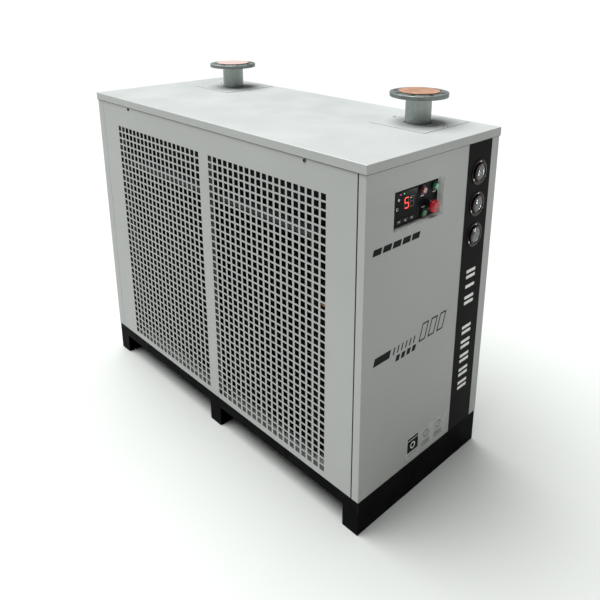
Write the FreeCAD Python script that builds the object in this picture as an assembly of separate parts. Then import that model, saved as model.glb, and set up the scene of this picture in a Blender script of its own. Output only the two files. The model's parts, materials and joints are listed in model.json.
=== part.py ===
"""Refrigerated compressed-air dryer in a sheet-metal cabinet on a skid base.

Frame: millimetres, +Z up, +X towards the control end, -Y towards the condenser grilles.
The origin is on the floor, under the middle of the cabinet.
"""
import FreeCAD, Part
import math
import os

V = FreeCAD.Vector
X_AXIS = V(1, 0, 0)
Y_AXIS = V(0, 1, 0)
Z_AXIS = V(0, 0, 1)

# Overall
LENGTH = 1550.0
WIDTH = 670.0
LID_TOP = 1240.0
LID_SKIRT = 28.0
LID_OVERHANG = 3.0
SHEET = 1.5
CAB_X = LENGTH / 2 - LID_OVERHANG
CAB_Y = WIDTH / 2 - LID_OVERHANG
SEAM = LID_TOP - LID_SKIRT
PANEL_TOP = SEAM + 12.0
GAP = 0.5

# Base
BASE_TOP = 131.0
RAIL_HEIGHT = 45.0
RAIL_FLANGE = 40.0
STEEL = 5.0
BASE_X = CAB_X - 2.0
BASE_Y = CAB_Y - 2.0
SKID_HEIGHT = BASE_TOP - RAIL_HEIGHT
SKID_WIDTH = 66.0
ANCHOR_RADIUS = 7.0
ANCHOR_Y = 280.0
PAN_SHEET = 2.0
PAN_X = 742.0
PAN_Y = 312.0
PAN_RIM_TOP = 155.0
FLOOR = BASE_TOP + PAN_SHEET

# Cabinet frame and panels
POST = 26.0
POST_SHEET = 2.5
FRAME_X = CAB_X - SHEET - GAP
FRAME_Y = CAB_Y - SHEET - GAP
TOP_RAIL_LOW = 1175.0
CENTRE_POST_WIDTH = 40.0
CENTRE_POST_DEPTH = 25.0
PANEL_BOTTOM = BASE_TOP + 1.0
PANEL_RETURN = 15.0
BEND_RADIUS = 2.5
SIDE_PANEL_X0 = -727.0
SIDE_PANEL_X1 = 741.0
SEAM_GAP = 1.5
CUT_OVER = 1.0
TOUCHING = 0.01

# Punched grilles in the side panels
GRILLE_COLUMNS = 20
GRILLE_ROWS = 36
GRILLE_PITCH_X = 29.6
GRILLE_PITCH_Z = 27.0
GRILLE_HOLE_X = 21.0
GRILLE_HOLE_Z = 20.5
GRILLE_CENTRE_X = 7.0
GRILLE_OFFSET_X = 321.0
GRILLE_CENTRE_Z = 638.5

# Panel screws
SCREW_HEAD_RADIUS = 6.0
SCREW_HEAD_HEIGHT = 3.0
SCREW_SHANK_RADIUS = 2.5
SCREW_SHANK_LENGTH = 9.0
SIDE_SCREW_X = (-510.0, 530.0)
SIDE_SCREW_Z = 1203.0

# Air pipes, flanges and covers
INLET_X = 540.0
OUTLET_X = -500.0
PIPE_Y = 188.0
PIPE_RADIUS = 44.45
PIPE_WALL = 4.0
PIPE_ELBOW = 114.0
PIPE_RUN_Z = 900.0
FLANGE_RADIUS = 100.0
FLANGE_THICKNESS = 14.0
FLANGE_LOW = 1331.0
FLANGE_BORE_RADIUS = 45.0
FLANGE_CHAMFER = 1.0
FLANGE_WELD = 5.0
PIPE_SETBACK = 4.0
FLANGE_BOLT_CIRCLE = 80.0
FLANGE_BOLTS = 8
FLANGE_HOLE_RADIUS = 9.0
RAISED_FACE_RADIUS = 69.0
RAISED_FACE = 2.0
DISC_RADIUS = 70.0
DISC_THICKNESS = 2.0
PLATE_X = 240.0
PLATE_Y = 260.0
PLATE_CENTRE_Y = 195.0
PLATE_HOLE_RADIUS = 47.0
PLATE_CORNER = 6.0
LID_OPENING_MARGIN = 20.0

# Control end
STRIP_Y0 = 154.0
STRIP_Y1 = 287.0
STRIP_SHEET = 1.2
STRIP_FACE = CAB_X + STRIP_SHEET
GAUGE_Y = 221.0
GAUGE_Z = {"suction_gauge": 1106.0, "discharge_gauge": 996.5, "air_gauge": 887.0}
GAUGE_REST_DEG = {"suction_gauge": 165.0, "discharge_gauge": 130.0, "air_gauge": 45.0}
GAUGE_ZERO_DEG = 225.0
GAUGE_BODY_RADIUS = 30.0
GAUGE_BODY_INNER = 28.0
GAUGE_FLANGE_RADIUS = 42.5
GAUGE_FLANGE = 2.5
GAUGE_BEZEL_RADIUS = 33.0
GAUGE_LIP_RADIUS = 27.0
GAUGE_BACK = CAB_X - 30.0
GAUGE_BACK_SHEET = 2.0
GAUGE_FRONT = STRIP_FACE + 8.0
GAUGE_LIP = 1.5
GAUGE_LENS = 2.0
GAUGE_STUB_RADIUS = 6.5
GAUGE_STUB = 22.0
BEZEL_FILLET = 2.0
DIAL_X = GAUGE_FRONT - 11.0
DIAL_SHEET = 1.0
SPINDLE_RADIUS = 1.6
SPINDLE_TAIL = 5.0
POINTER_X = DIAL_X + 2.0
POINTER_LENGTH = 22.0
POINTER_TAIL = 8.0
POINTER_HALF_WIDTHS = (1.6, 0.5)
POINTER_SHEET = 0.8
POINTER_HUB_RADIUS = 3.5
POINTER_HUB = (-0.3, 1.6)
WINDOW_Y0 = -211.0
WINDOW_Y1 = 25.0
WINDOW_Z0 = 1011.0
WINDOW_Z1 = 1134.0
TRAY_DEPTH = 20.0
TRAY_FACE = CAB_X - TRAY_DEPTH
TRAY_WALL = 1.2
TRAY_RIM = 10.0
SWITCH_HOLE_RADIUS = 11.15
FAULT_LAMP = (-56.0, 1104.0)
RUN_LAMP = (5.0, 1104.0)
START_BUTTON = (-48.0, 1030.0)
EMERGENCY_STOP = (-20.0, 1048.0)
CONTROLLER_Y0 = -200.0
CONTROLLER_Y1 = -80.0
CONTROLLER_Z0 = 1016.0
CONTROLLER_Z1 = 1126.0
CONTROLLER_FACE = TRAY_FACE + 5.0
CONTROLLER_BACK = TRAY_FACE - 52.0
CONTROLLER_EDGE = 5.0
CONTROLLER_CLEARANCE = 0.2
CONTROLLER_CORNER = 3.0
PANE_MARGIN = 6.0
PANE_SHEET = 1.0
KEY_Y = {"key_set": -170.0, "key_up": -140.0, "key_down": -110.0}
KEY_Z = 1031.0
KEY_WIDTH = 20.0
KEY_HEIGHT = 11.0
KEY_CLEARANCE = 0.3
KEY_LOW = TRAY_FACE + 1.5
KEY_FRONT = CONTROLLER_FACE + 1.0
KEY_CORNER = 1.5
COLLAR_RADIUS = 14.5
COLLAR_FILLET = 1.0
COLLAR_FLOOR = 0.5
LAMP_COLLAR = 5.0
BUTTON_COLLAR = 6.0
STOP_COLLAR = 4.0
LENS_FRONT = TRAY_FACE + 12.0
LENS_DOME = 3.0
LAMP_BACK = TRAY_FACE - 20.0
BUTTON_LOW = TRAY_FACE + 4.5
BUTTON_FRONT = TRAY_FACE + 9.0
BUTTON_BACK = TRAY_FACE - 16.0
BUTTON_FILLET = 1.2
BUTTON_CLEARANCE = 0.3
BUTTON_STEM_RADIUS = 7.2
BUTTON_BORE = 11.1
BARREL_RADIUS = 11.0
BARREL_BORE = 9.2
BARREL_LENGTH = 36.0
PLUNGER_RADIUS = 7.0
PLUNGER_BACK = TRAY_FACE - 22.0
PLUNGER_FRONT = TRAY_FACE + 17.0
HEAD_LOW = TRAY_FACE + 10.0
HEAD_FRONT = TRAY_FACE + 30.0
HEAD_RADIUS = 20.0
HEAD_THICKNESS = 12.0
HEAD_DOME = 8.5
NECK_RADIUS = 12.0
BOX_BACK = 640.0
BOX_Y0 = -236.0
BOX_Y1 = 52.0
BOX_Z0 = 900.0
BOX_Z1 = 1165.0
MOUNT_RAIL = 7.0
MOUNT_RAIL_Z = (935.0, 970.0)
RELAY_Y = (-200.0, -155.0)
RELAY_Z = (912.0, 992.0)
RELAY_DEPTH = 73.0
OVERLOAD_Y = (-150.0, -105.0)
OVERLOAD_Z = (915.0, 985.0)
OVERLOAD_DEPTH = 63.0
RELAY_CORNER = 2.0
TERMINALS = 8
TERMINAL_Y = -80.0
TERMINAL_PITCH = 12.0
TERMINAL_WIDTH = 10.0
TERMINAL_DEPTH = 38.0
TERMINAL_Z = (925.0, 980.0)

# Condenser, fans and their shroud
COIL_X0 = -607.0
COIL_X1 = 535.0
COIL_Z0 = 165.0
COIL_Z1 = 965.0
COIL_Y0 = -298.0
COIL_Y1 = -238.0
COIL_FRAME = 15.0
FIN_SETBACK = 4.0
TUBE_BENDS = 15
TUBE_BEND_PITCH = 50.0
TUBE_BEND_RADIUS = 12.5
TUBE_RADIUS = 4.8
TUBE_INSET = 18.0
FAN_X = {"left_fan": -321.0, "right_fan": 249.0}
FAN_Z = (COIL_Z0 + COIL_Z1) / 2
FAN_Y = -156.0
FAN_RADIUS = 222.0
FAN_BLADES = 5
FAN_PITCH_DEG = 20.0
FAN_HUB_RADIUS = 45.0
FAN_HUB_HALF = 16.0
FAN_HUB_FILLET = 5.0
FAN_SOCKET = 14.5
BLADE_SHEET = 2.4
BLADE_ROOT_WIDTH = 40.0
BLADE_TIP_WIDTH = 120.0
BLADE_CORNER = 22.0
SHAFT_RADIUS = 6.0
RUNNING_CLEARANCE = 0.05
SHROUD_PLATE_Y = -181.5
SHROUD_RING_RADIUS = 232.0
SHROUD_SHEET = 1.5
RING_DEPTH = 50.0
RING_SHEET = 2.0
BULKHEAD_X = 740.0
DISCHARGE_SIDE_X = COIL_X1 + 40.0
DISCHARGE_Z = 720.0
LIQUID_SIDE_X = COIL_X1 + 60.0
LIQUID_Z = 220.0
BULKHEAD_LINE_HOLES = ((DISCHARGE_SIDE_X, DISCHARGE_Z), (LIQUID_SIDE_X, LIQUID_Z))
BULKHEAD_HOLE_RADIUS = 14.0
MOTOR_RADIUS = 58.0
MOTOR_Y0 = -126.0
MOTOR_Y1 = -40.0
MOTOR_DOME = 12.0
SHAFT_END = 14.0
ARM_SHEET = 6.0
ARM_HALF_WIDTH = 7.0
ARM_MARGIN = 16.0

# Heat exchanger and drain
EXCHANGER_X0 = -340.0
EXCHANGER_X1 = 60.0
EXCHANGER_Y0 = 70.0
EXCHANGER_Y1 = 302.0
EXCHANGER_TOP = 1010.0
EXCHANGER_FOOT = 30.0
EXCHANGER_FOOT_WIDTH = 40.0
EXCHANGER_FOOT_INSET = 60.0
EXCHANGER_FOOT_MARGIN = 20.0
EXCHANGER_CORNER = 18.0
SEPARATOR_X = -470.0
DRAIN_Y = 150.0
DRAIN_Z = 215.0
SEPARATOR_RADIUS = 72.0
SEPARATOR_LOW = 270.0
SEPARATOR_TOP = 690.0
SEPARATOR_INLET_Z = 600.0
SEPARATOR_DOME = 34.0
SEPARATOR_NOZZLE_RADIUS = 30.0
SEPARATOR_LEGS = 3
LEG_RADIUS = 7.0
LEG_INSET = 14.0
LEG_LAP = 60.0
DRAIN_LINE_RADIUS = 9.0
DRAIN_LINE_BEND = 20.0
DRAIN_BLOCK_X = -560.0
BLOCK_HALF = (30.0, 20.0, 20.0)
SOLENOID_HALF = (17.0, 22.0)
SOLENOID_Z = (34.0, 74.0)
TIMER_HALF = 15.0
TIMER_DEPTH = 34.0
TIMER_Z = (38.0, 70.0)
DRAIN_CORNER = 4.0
VALVE_X = -655.0
VALVE_BODY_RADIUS = 15.0
VALVE_NUT_RADIUS = 17.0
VALVE_NUTS = (20.0, 34.0)
VALVE_NECK = 24.0
LOCK_NUT = 3.0
WATER_WAY_RADIUS = 7.5
DRAIN_PIPE_RADIUS = 10.65
DRAIN_PIPE_END = CAB_X + 25.0
LEVER_STEM_RADIUS = 5.0
LEVER_SOCKET = 8.0
LEVER_LOW = 25.0
LEVER_SHEET = 2.5
LEVER_TIP = 85.0
LEVER_HALF_WIDTH = 9.0
LEVER_CORNER = 7.0
GRIP_LENGTH = 60.0
GRIP_WALL = 1.5
GRIP_CORNER = 2.0

# Refrigerant circuit
COMPRESSOR_X = 300.0
COMPRESSOR_Y = 150.0
COMPRESSOR_RADIUS = 115.0
COMPRESSOR_LOW = 168.0
COMPRESSOR_TOP = 560.0
COMPRESSOR_DOME = 55.0
FOOT_OFFSET = 105.0
FOOT_PLATE_MARGIN = 18.0
FOOT_PLATE_Z = (COMPRESSOR_LOW - 7.0, COMPRESSOR_LOW - 2.0)
FOOT_HOLE_RADIUS = 9.5
SADDLE_RADIUS = 70.0
SADDLE_HEIGHT = 40.0
TERMINAL_BOX_HALF = 35.0
TERMINAL_BOX_Y = (30.0, 55.0)
TERMINAL_BOX_Z = (330.0, 420.0)
SHELL_SEAM = 3.0
SHELL_SEAM_Z = (392.0, 400.0)
SUCTION_Z = 330.0
SUCTION_STUB_RADIUS = 14.0
SUCTION_STUB_END = 13.0
SUCTION_STUB_ROOT = 90.0
DISCHARGE_OFFSET = 60.0
DISCHARGE_STUB_RADIUS = 9.0
DISCHARGE_STUB_END = 6.0
GROMMET_RADIUS = 16.0
GROMMET_FILLET = 3.0
GROMMET_NECK_RADIUS = 9.2
GROMMET_NECK = 12.0
RECEIVER_X = 500.0
RECEIVER_Y = 200.0
RECEIVER_RADIUS = 60.0
RECEIVER_Z = (160.0, 480.0)
RECEIVER_DOME = 25.0
RECEIVER_SKIRT_RADII = (52.0, 49.0)
RECEIVER_SKIRT_TOP = 200.0
RECEIVER_OUTLET_Z = 500.0
NOZZLE_RADIUS = 10.0
NOZZLE_ROOT = 20.0
DRIER_X = 430.0
DRIER_Y = 90.0
DRIER_RADIUS = 24.0
DRIER_Z = (300.0, 440.0)
DRIER_DOME = 12.0
EXPANSION_X = 100.0
EXPANSION_Y = 100.0
EXPANSION_Z = (240.0, 290.0, 300.0)
EXPANSION_HEX_RADIUS = 15.0
EXPANSION_HEAD_RADIUS = 26.0
EXPANSION_HEAD_FILLET = 3.0
EXPANSION_OUTLET_Z = 262.0
LINE_BEND = 30.0
SUCTION_LINE_RADIUS = 11.0
SUCTION_LINE_TOP = (230.0, 620.0)
SUCTION_LINE_SIDE_X = 115.0
DISCHARGE_LINE_RADIUS = 8.0
COIL_LINE_RADIUS = 7.0
COIL_LINE_BEND = 22.0
LIQUID_LINE_RADIUS = 6.0
LIQUID_LINE_HIGH = 550.0
LIQUID_LINE_LOW = 225.0
LIQUID_AISLE_Y = 5.0
LIQUID_JOINT_RADIUS = 7.5

# Supply gland
GLAND_Y = -150.0
GLAND_Z = 215.0
GLAND_BORE_RADIUS = 7.0
GLAND_BARREL_RADIUS = 12.0
GLAND_HEX_RADIUS = 16.0
GLAND_LENGTH = 34.0
GLAND_BARREL = 12.0
GLAND_HEX = 6.0
GLAND_NUT = 5.0
GLAND_FILLET = 4.0


def box(x0, x1, y0, y1, z0, z1):
    return Part.makeBox(x1 - x0, y1 - y0, z1 - z0, V(x0, y0, z0))


def rod(radius, start, end):
    """A solid cylinder from one point to another."""
    axis = V(*end) - V(*start)
    return Part.makeCylinder(radius, axis.Length, V(*start), axis)


def tube(outer, inner, start, end):
    return rod(outer, start, end).cut(rod(inner, start, end))


def hexagon(radius, start, end):
    """A hexagonal bar, radius to its corners, along X or Z."""
    axis = V(*end) - V(*start)
    along_x = abs(axis.x) > abs(axis.z)
    points = []
    for step in range(7):
        turn = math.radians(60 * step)
        a, b = radius * math.cos(turn), radius * math.sin(turn)
        offset = V(0, a, b) if along_x else V(a, b, 0)
        points.append(V(*start) + offset)
    return Part.Face(Part.makePolygon(points)).extrude(axis)


def fuse(shapes):
    return shapes[0].multiFuse(shapes[1:]).removeSplitter()


def edges_along(shape, direction, test=None):
    """The straight edges of a shape that run along a direction and pass a test on their middle."""
    found = []
    for edge in shape.Edges:
        if edge.Curve.TypeId != "Part::GeomLine":
            continue
        if abs(edge.tangentAt(edge.FirstParameter).dot(direction)) < 0.999:
            continue
        if test is None or test(edge.CenterOfMass):
            found.append(edge)
    return found


def circles_at(shape, axis_name, value):
    """The round edges of a shape that lie in one plane across X, Y or Z."""
    found = []
    for edge in shape.Edges:
        height = getattr(edge.CenterOfMass, axis_name)
        if edge.Curve.TypeId == "Part::GeomCircle" and abs(height - value) < TOUCHING:
            found.append(edge)
    return found


def rounded(shape, radius, direction, test=None):
    return shape.makeFillet(radius, edges_along(shape, direction, test))


def domed(radius, low, high, x, y, dome):
    """An upright pressure shell with rounded ends."""
    shell = rod(radius, (x, y, low), (x, y, high))
    return shell.makeFillet(dome, circles_at(shell, "z", low) + circles_at(shell, "z", high))


def bent_wire(points, bend):
    """Straight runs between points, joined by tangent arcs."""
    corners = [V(*p) for p in points]
    edges = []
    start = corners[0]
    for before, corner, after in zip(corners, corners[1:], corners[2:]):
        back = (before - corner).normalize()
        ahead = (after - corner).normalize()
        half_turn = (math.pi - back.getAngle(ahead)) / 2
        trim = bend * math.tan(half_turn)
        arc_start = corner + back * trim
        arc_end = corner + ahead * trim
        to_centre = (back + ahead).normalize()
        arc_middle = corner + to_centre * (bend / math.cos(half_turn) - bend)
        edges.append(Part.LineSegment(start, arc_start).toShape())
        edges.append(Part.Arc(arc_start, arc_middle, arc_end).toShape())
        start = arc_end
    edges.append(Part.LineSegment(start, corners[-1]).toShape())
    return Part.Wire(edges)


def pipe(points, radius, bend, inner=0.0):
    """A bent pipe; an inner radius makes it hollow."""
    path = bent_wire(points, bend)
    heading = V(*points[1]) - V(*points[0])

    def sweep(r):
        ring = Part.Wire(Part.makeCircle(r, V(*points[0]), heading))
        return path.makePipeShell([ring], True, False)

    return sweep(radius).cut(sweep(inner)) if inner else sweep(radius)


def write(name, *solids):
    shape = solids[0] if len(solids) == 1 else Part.makeCompound(list(solids))
    if not shape.isValid():
        raise ValueError(name + " is not a valid shape")
    shape.exportStep("parts/" + name + ".step")


# ---------------------------------------------------------------- base

def base_frame():
    """Four steel channels, open inwards, mitred and welded at the corners."""
    low = BASE_TOP - RAIL_HEIGHT
    outline = box(-BASE_X, BASE_X, -BASE_Y, BASE_Y, low, BASE_TOP)
    hollow_x, hollow_y = BASE_X - STEEL, BASE_Y - STEEL
    hollow = box(-hollow_x, hollow_x, -hollow_y, hollow_y, low + STEEL, BASE_TOP - STEEL)
    inner_x, inner_y = BASE_X - RAIL_FLANGE, BASE_Y - RAIL_FLANGE
    opening = box(-inner_x, inner_x, -inner_y, inner_y, low, BASE_TOP)
    ring = outline.cut(hollow).cut(opening)
    outer = [(-BASE_X, -BASE_Y), (BASE_X, -BASE_Y), (BASE_X, BASE_Y), (-BASE_X, BASE_Y)]
    inner = [(-inner_x, -inner_y), (inner_x, -inner_y), (inner_x, inner_y), (-inner_x, inner_y)]
    rails = []
    for side in range(4):
        after = (side + 1) % 4
        corners = [outer[side], outer[after], inner[after], inner[side], outer[side]]
        plan = Part.makePolygon([V(x, y, low) for x, y in corners])
        wedge = Part.Face(plan).extrude(V(0, 0, RAIL_HEIGHT))
        rails.extend(ring.common(wedge).Solids)
    return rails


def skid(web_x, open_towards, anchored):
    """A channel across the base with plated ends; its gap to the next one takes a fork."""
    tip_x = web_x + open_towards * SKID_WIDTH
    low_x, high_x = min(web_x, tip_x), max(web_x, tip_x)
    channel = box(low_x, high_x, -BASE_Y, BASE_Y, 0, SKID_HEIGHT)
    inner_x = sorted((web_x + open_towards * STEEL, tip_x + open_towards * CUT_OVER))
    inner_y = BASE_Y - STEEL
    channel = channel.cut(box(*inner_x, -inner_y, inner_y, STEEL, SKID_HEIGHT - STEEL))
    if anchored:
        hole_x = (low_x + high_x) / 2
        for y in (-ANCHOR_Y, ANCHOR_Y):
            channel = channel.cut(rod(ANCHOR_RADIUS, (hole_x, y, -CUT_OVER), (hole_x, y, STEEL + CUT_OVER)))
    return channel


def floor_pan():
    tray = box(-PAN_X, PAN_X, -PAN_Y, PAN_Y, BASE_TOP, PAN_RIM_TOP)
    inner_y = PAN_Y - PAN_SHEET
    return tray.cut(box(-PAN_X, PAN_X, -inner_y, inner_y, FLOOR, PAN_RIM_TOP))


# ---------------------------------------------------------------- cabinet

def corner_post(sign_x, sign_y):
    """An angle post standing on the base frame inside one corner."""
    xs = sorted((sign_x * FRAME_X, sign_x * (FRAME_X - POST)))
    ys = sorted((sign_y * FRAME_Y, sign_y * (FRAME_Y - POST)))
    block = box(*xs, *ys, BASE_TOP, TOP_RAIL_LOW)
    inner_x = sorted((sign_x * (FRAME_X - POST_SHEET), sign_x * (FRAME_X - POST)))
    inner_y = sorted((sign_y * (FRAME_Y - POST_SHEET), sign_y * (FRAME_Y - POST)))
    return block.cut(box(*inner_x, *inner_y, BASE_TOP, TOP_RAIL_LOW))


def centre_post(sign_y):
    """A channel post behind the plain bar between the two grilles."""
    half = CENTRE_POST_WIDTH / 2
    x0, x1 = GRILLE_CENTRE_X - half, GRILLE_CENTRE_X + half
    ys = sorted((sign_y * FRAME_Y, sign_y * (FRAME_Y - CENTRE_POST_DEPTH)))
    inner_y = sorted((sign_y * (FRAME_Y - POST_SHEET), sign_y * (FRAME_Y - CENTRE_POST_DEPTH)))
    post = box(x0, x1, *ys, PAN_RIM_TOP, TOP_RAIL_LOW)
    return post.cut(box(x0 + POST_SHEET, x1 - POST_SHEET, *inner_y, PAN_RIM_TOP, TOP_RAIL_LOW))


def top_rails():
    """Angle rails under the lid: two along the sides, two between them across the ends."""
    top = LID_TOP - SHEET
    rails = []
    for sign in (-1, 1):
        outer_y = sorted((sign * FRAME_Y, sign * (FRAME_Y - POST)))
        inner_y = sorted((sign * (FRAME_Y - POST_SHEET), sign * (FRAME_Y - POST)))
        rail = box(-FRAME_X, FRAME_X, *outer_y, TOP_RAIL_LOW, top)
        rails.append(rail.cut(box(-FRAME_X, FRAME_X, *inner_y, TOP_RAIL_LOW, top - POST_SHEET)))
    end_y = FRAME_Y - POST
    for sign in (-1, 1):
        outer_x = sorted((sign * FRAME_X, sign * (FRAME_X - POST)))
        inner_x = sorted((sign * (FRAME_X - POST_SHEET), sign * (FRAME_X - POST)))
        rail = box(*outer_x, -end_y, end_y, TOP_RAIL_LOW, top)
        rails.append(rail.cut(box(*inner_x, -end_y, end_y, TOP_RAIL_LOW, top - POST_SHEET)))
    return rails


def cabinet_frame():
    posts = [corner_post(sx, sy) for sx in (-1, 1) for sy in (-1, 1)]
    posts += [centre_post(sign) for sign in (-1, 1)]
    rails = top_rails()
    for x, sign in side_screw_places():
        hole = side_screw_hole(x, sign)
        rails = [rail.cut(hole) if rail.distToShape(hole)[0] < GAP else rail for rail in rails]
    return posts + rails


def side_screw_places():
    return [(x, sign) for x in SIDE_SCREW_X for sign in (-1, 1)]


def side_screw_hole(x, sign):
    start = (x, sign * (CAB_Y + 1), SIDE_SCREW_Z)
    end = (x, sign * (CAB_Y - SCREW_SHANK_LENGTH - 1), SIDE_SCREW_Z)
    return rod(SCREW_SHANK_RADIUS + 0.1, start, end)


def rectangle_wire(x0, x1, z0, z1, y):
    corners = [(x0, z0), (x1, z0), (x1, z1), (x0, z1), (x0, z0)]
    return Part.makePolygon([V(x, y, z) for x, z in corners])


def grille_column(sign):
    """One column of square holes, as a strip of sheet centred on x = 0."""
    face_y = sign * CAB_Y
    half_pitch, half_hole = GRILLE_PITCH_X / 2, GRILLE_HOLE_X / 2
    wires = [rectangle_wire(-half_pitch, half_pitch, PANEL_BOTTOM, PANEL_TOP, face_y)]
    first_z = GRILLE_CENTRE_Z - (GRILLE_ROWS - 1) * GRILLE_PITCH_Z / 2 - GRILLE_HOLE_Z / 2
    for row in range(GRILLE_ROWS):
        z = first_z + row * GRILLE_PITCH_Z
        wires.append(rectangle_wire(-half_hole, half_hole, z, z + GRILLE_HOLE_Z, face_y))
    face = Part.makeFace(Part.makeCompound(wires), "Part::FaceMakerBullseye")
    return face.extrude(V(0, -sign * SHEET, 0))


def side_panel(sign):
    """A flat steel sheet with two fields of square holes and turned-in side edges."""
    ys = sorted((sign * CAB_Y, sign * (CAB_Y - SHEET)))
    column = grille_column(sign)
    pieces = []
    plain_from = SIDE_PANEL_X0
    half_field = GRILLE_COLUMNS * GRILLE_PITCH_X / 2
    for side in (-1, 1):
        field_start = GRILLE_CENTRE_X + side * GRILLE_OFFSET_X - half_field
        pieces.append(box(plain_from, field_start, *ys, PANEL_BOTTOM, PANEL_TOP))
        for index in range(GRILLE_COLUMNS):
            strip = column.copy()
            strip.translate(V(field_start + (index + 0.5) * GRILLE_PITCH_X, 0, 0))
            pieces.append(strip)
        plain_from = field_start + 2 * half_field
    pieces.append(box(plain_from, SIDE_PANEL_X1, *ys, PANEL_BOTTOM, PANEL_TOP))
    return_ys = sorted((sign * (CAB_Y - SHEET), sign * (CAB_Y - PANEL_RETURN)))
    for x0 in (SIDE_PANEL_X0, SIDE_PANEL_X1 - SHEET):
        pieces.append(box(x0, x0 + SHEET, *return_ys, PAN_RIM_TOP, TOP_RAIL_LOW - 1))
    panel = pieces[0].multiFuse(pieces[1:])
    for x in SIDE_SCREW_X:
        panel = panel.cut(side_screw_hole(x, sign))
    return panel


def end_panel(sign, reach):
    """A sheet bent round both corners of one end, as far as x = reach."""
    xs = sorted((sign * CAB_X, sign * (reach - 20)))
    outer = rounded(box(*xs, -CAB_Y, CAB_Y, PANEL_BOTTOM, PANEL_TOP), BEND_RADIUS, Z_AXIS)
    inner_xs = sorted((sign * (CAB_X - SHEET), sign * (reach - 30)))
    inner_y = CAB_Y - SHEET
    outer = outer.cut(box(*inner_xs, -inner_y, inner_y, PANEL_BOTTOM, PANEL_TOP))
    trim = sorted((sign * reach, sign * (reach - 30)))
    return outer.cut(box(*trim, -CAB_Y, CAB_Y, PANEL_BOTTOM, PANEL_TOP))


def control_end_panel():
    """The sheet with the gauge holes, as four pieces that meet round the control window."""
    panel = end_panel(1, SIDE_PANEL_X1 + SEAM_GAP)
    for z in GAUGE_Z.values():
        panel = panel.cut(gauge_hole(z))
    xs = (SIDE_PANEL_X1, CAB_X + CUT_OVER)
    far_y = CAB_Y + CUT_OVER
    below = box(*xs, -far_y, far_y, PANEL_BOTTOM, WINDOW_Z0)
    above = box(*xs, -far_y, far_y, WINDOW_Z1, PANEL_TOP)
    left = box(*xs, -far_y, WINDOW_Y0, WINDOW_Z0, WINDOW_Z1)
    right = box(*xs, WINDOW_Y1, far_y, WINDOW_Z0, WINDOW_Z1)
    return [panel.common(region) for region in (below, above, left, right)]


def gauge_hole(z):
    return rod(GAUGE_BODY_RADIUS + 1.0, (CAB_X - 5, GAUGE_Y, z), (CAB_X + 5, GAUGE_Y, z))


def rear_end_panel():
    panel = end_panel(-1, -(SIDE_PANEL_X0 - SEAM_GAP))
    drain = rod(DRAIN_PIPE_RADIUS + 1.0, (-CAB_X - 2, DRAIN_Y, DRAIN_Z), (-CAB_X + 4, DRAIN_Y, DRAIN_Z))
    gland = rod(GLAND_BARREL_RADIUS + GAP, (-CAB_X - 2, GLAND_Y, GLAND_Z), (-CAB_X + 4, GLAND_Y, GLAND_Z))
    return panel.cut(drain).cut(gland)


def lid():
    outer = box(-LENGTH / 2, LENGTH / 2, -WIDTH / 2, WIDTH / 2, SEAM, LID_TOP)
    top_edges = [edge for edge in outer.Edges if edge.CenterOfMass.z > SEAM + 1]
    outer = outer.makeFillet(BEND_RADIUS, top_edges)
    inner_x, inner_y = LENGTH / 2 - SHEET, WIDTH / 2 - SHEET
    shell = outer.cut(box(-inner_x, inner_x, -inner_y, inner_y, SEAM, LID_TOP - SHEET))
    for x in (INLET_X, OUTLET_X):
        half_x = PLATE_X / 2 - LID_OPENING_MARGIN
        half_y = PLATE_Y / 2 - LID_OPENING_MARGIN
        ys = (PLATE_CENTRE_Y - half_y, PLATE_CENTRE_Y + half_y)
        shell = shell.cut(box(x - half_x, x + half_x, *ys, SEAM, LID_TOP + CUT_OVER))
        for screw_x in plate_screw_places(x):
            shell = shell.cut(plate_screw_hole(screw_x))
    return shell


def plate_screw_places(x):
    half = PLATE_X / 2 - LID_OPENING_MARGIN / 2
    return (x - half, x + half)


def plate_screw_hole(x):
    start = (x, PLATE_CENTRE_Y, LID_TOP - 2 * SHEET)
    return rod(SCREW_SHANK_RADIUS + 0.1, start, (x, PLATE_CENTRE_Y, LID_TOP + 2 * SHEET))


def cover_plate(x):
    """A loose plate that closes the lid round one pipe, so the lid can be lifted off."""
    half_x, half_y = PLATE_X / 2, PLATE_Y / 2
    ys = (PLATE_CENTRE_Y - half_y, PLATE_CENTRE_Y + half_y)
    plate = box(x - half_x, x + half_x, *ys, LID_TOP, LID_TOP + SHEET)
    plate = rounded(plate, PLATE_CORNER, Z_AXIS)
    plate = plate.cut(rod(PLATE_HOLE_RADIUS, (x, PIPE_Y, LID_TOP - 1), (x, PIPE_Y, LID_TOP + 5)))
    for screw_x in plate_screw_places(x):
        plate = plate.cut(plate_screw_hole(screw_x))
    return plate


def screw(place, inwards):
    """A pan-head screw; its head sits on a face at place and its shank goes inwards."""
    start = V(*place)
    head = Part.makeCylinder(SCREW_HEAD_RADIUS, SCREW_HEAD_HEIGHT, start, -inwards)
    rim_height = start - inwards * SCREW_HEAD_HEIGHT
    rim = [edge for edge in head.Edges
           if edge.Curve.TypeId == "Part::GeomCircle" and (edge.CenterOfMass - rim_height).Length < TOUCHING]
    head = head.makeFillet(SCREW_HEAD_HEIGHT * 0.6, rim)
    socket = Part.makeCylinder(SCREW_SHANK_RADIUS, SCREW_HEAD_HEIGHT / 2, rim_height, inwards)
    shank = Part.makeCylinder(SCREW_SHANK_RADIUS, SCREW_SHANK_LENGTH, start, inwards)
    return fuse([head.cut(socket), shank])


def panel_screws():
    screws = []
    for x, sign in side_screw_places():
        screws.append(screw((x, sign * CAB_Y, SIDE_SCREW_Z), V(0, -sign, 0)))
    for pipe_x in (INLET_X, OUTLET_X):
        for x in plate_screw_places(pipe_x):
            screws.append(screw((x, PLATE_CENTRE_Y, LID_TOP + SHEET), -Z_AXIS))
    return screws


# ---------------------------------------------------------------- air pipes

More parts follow.
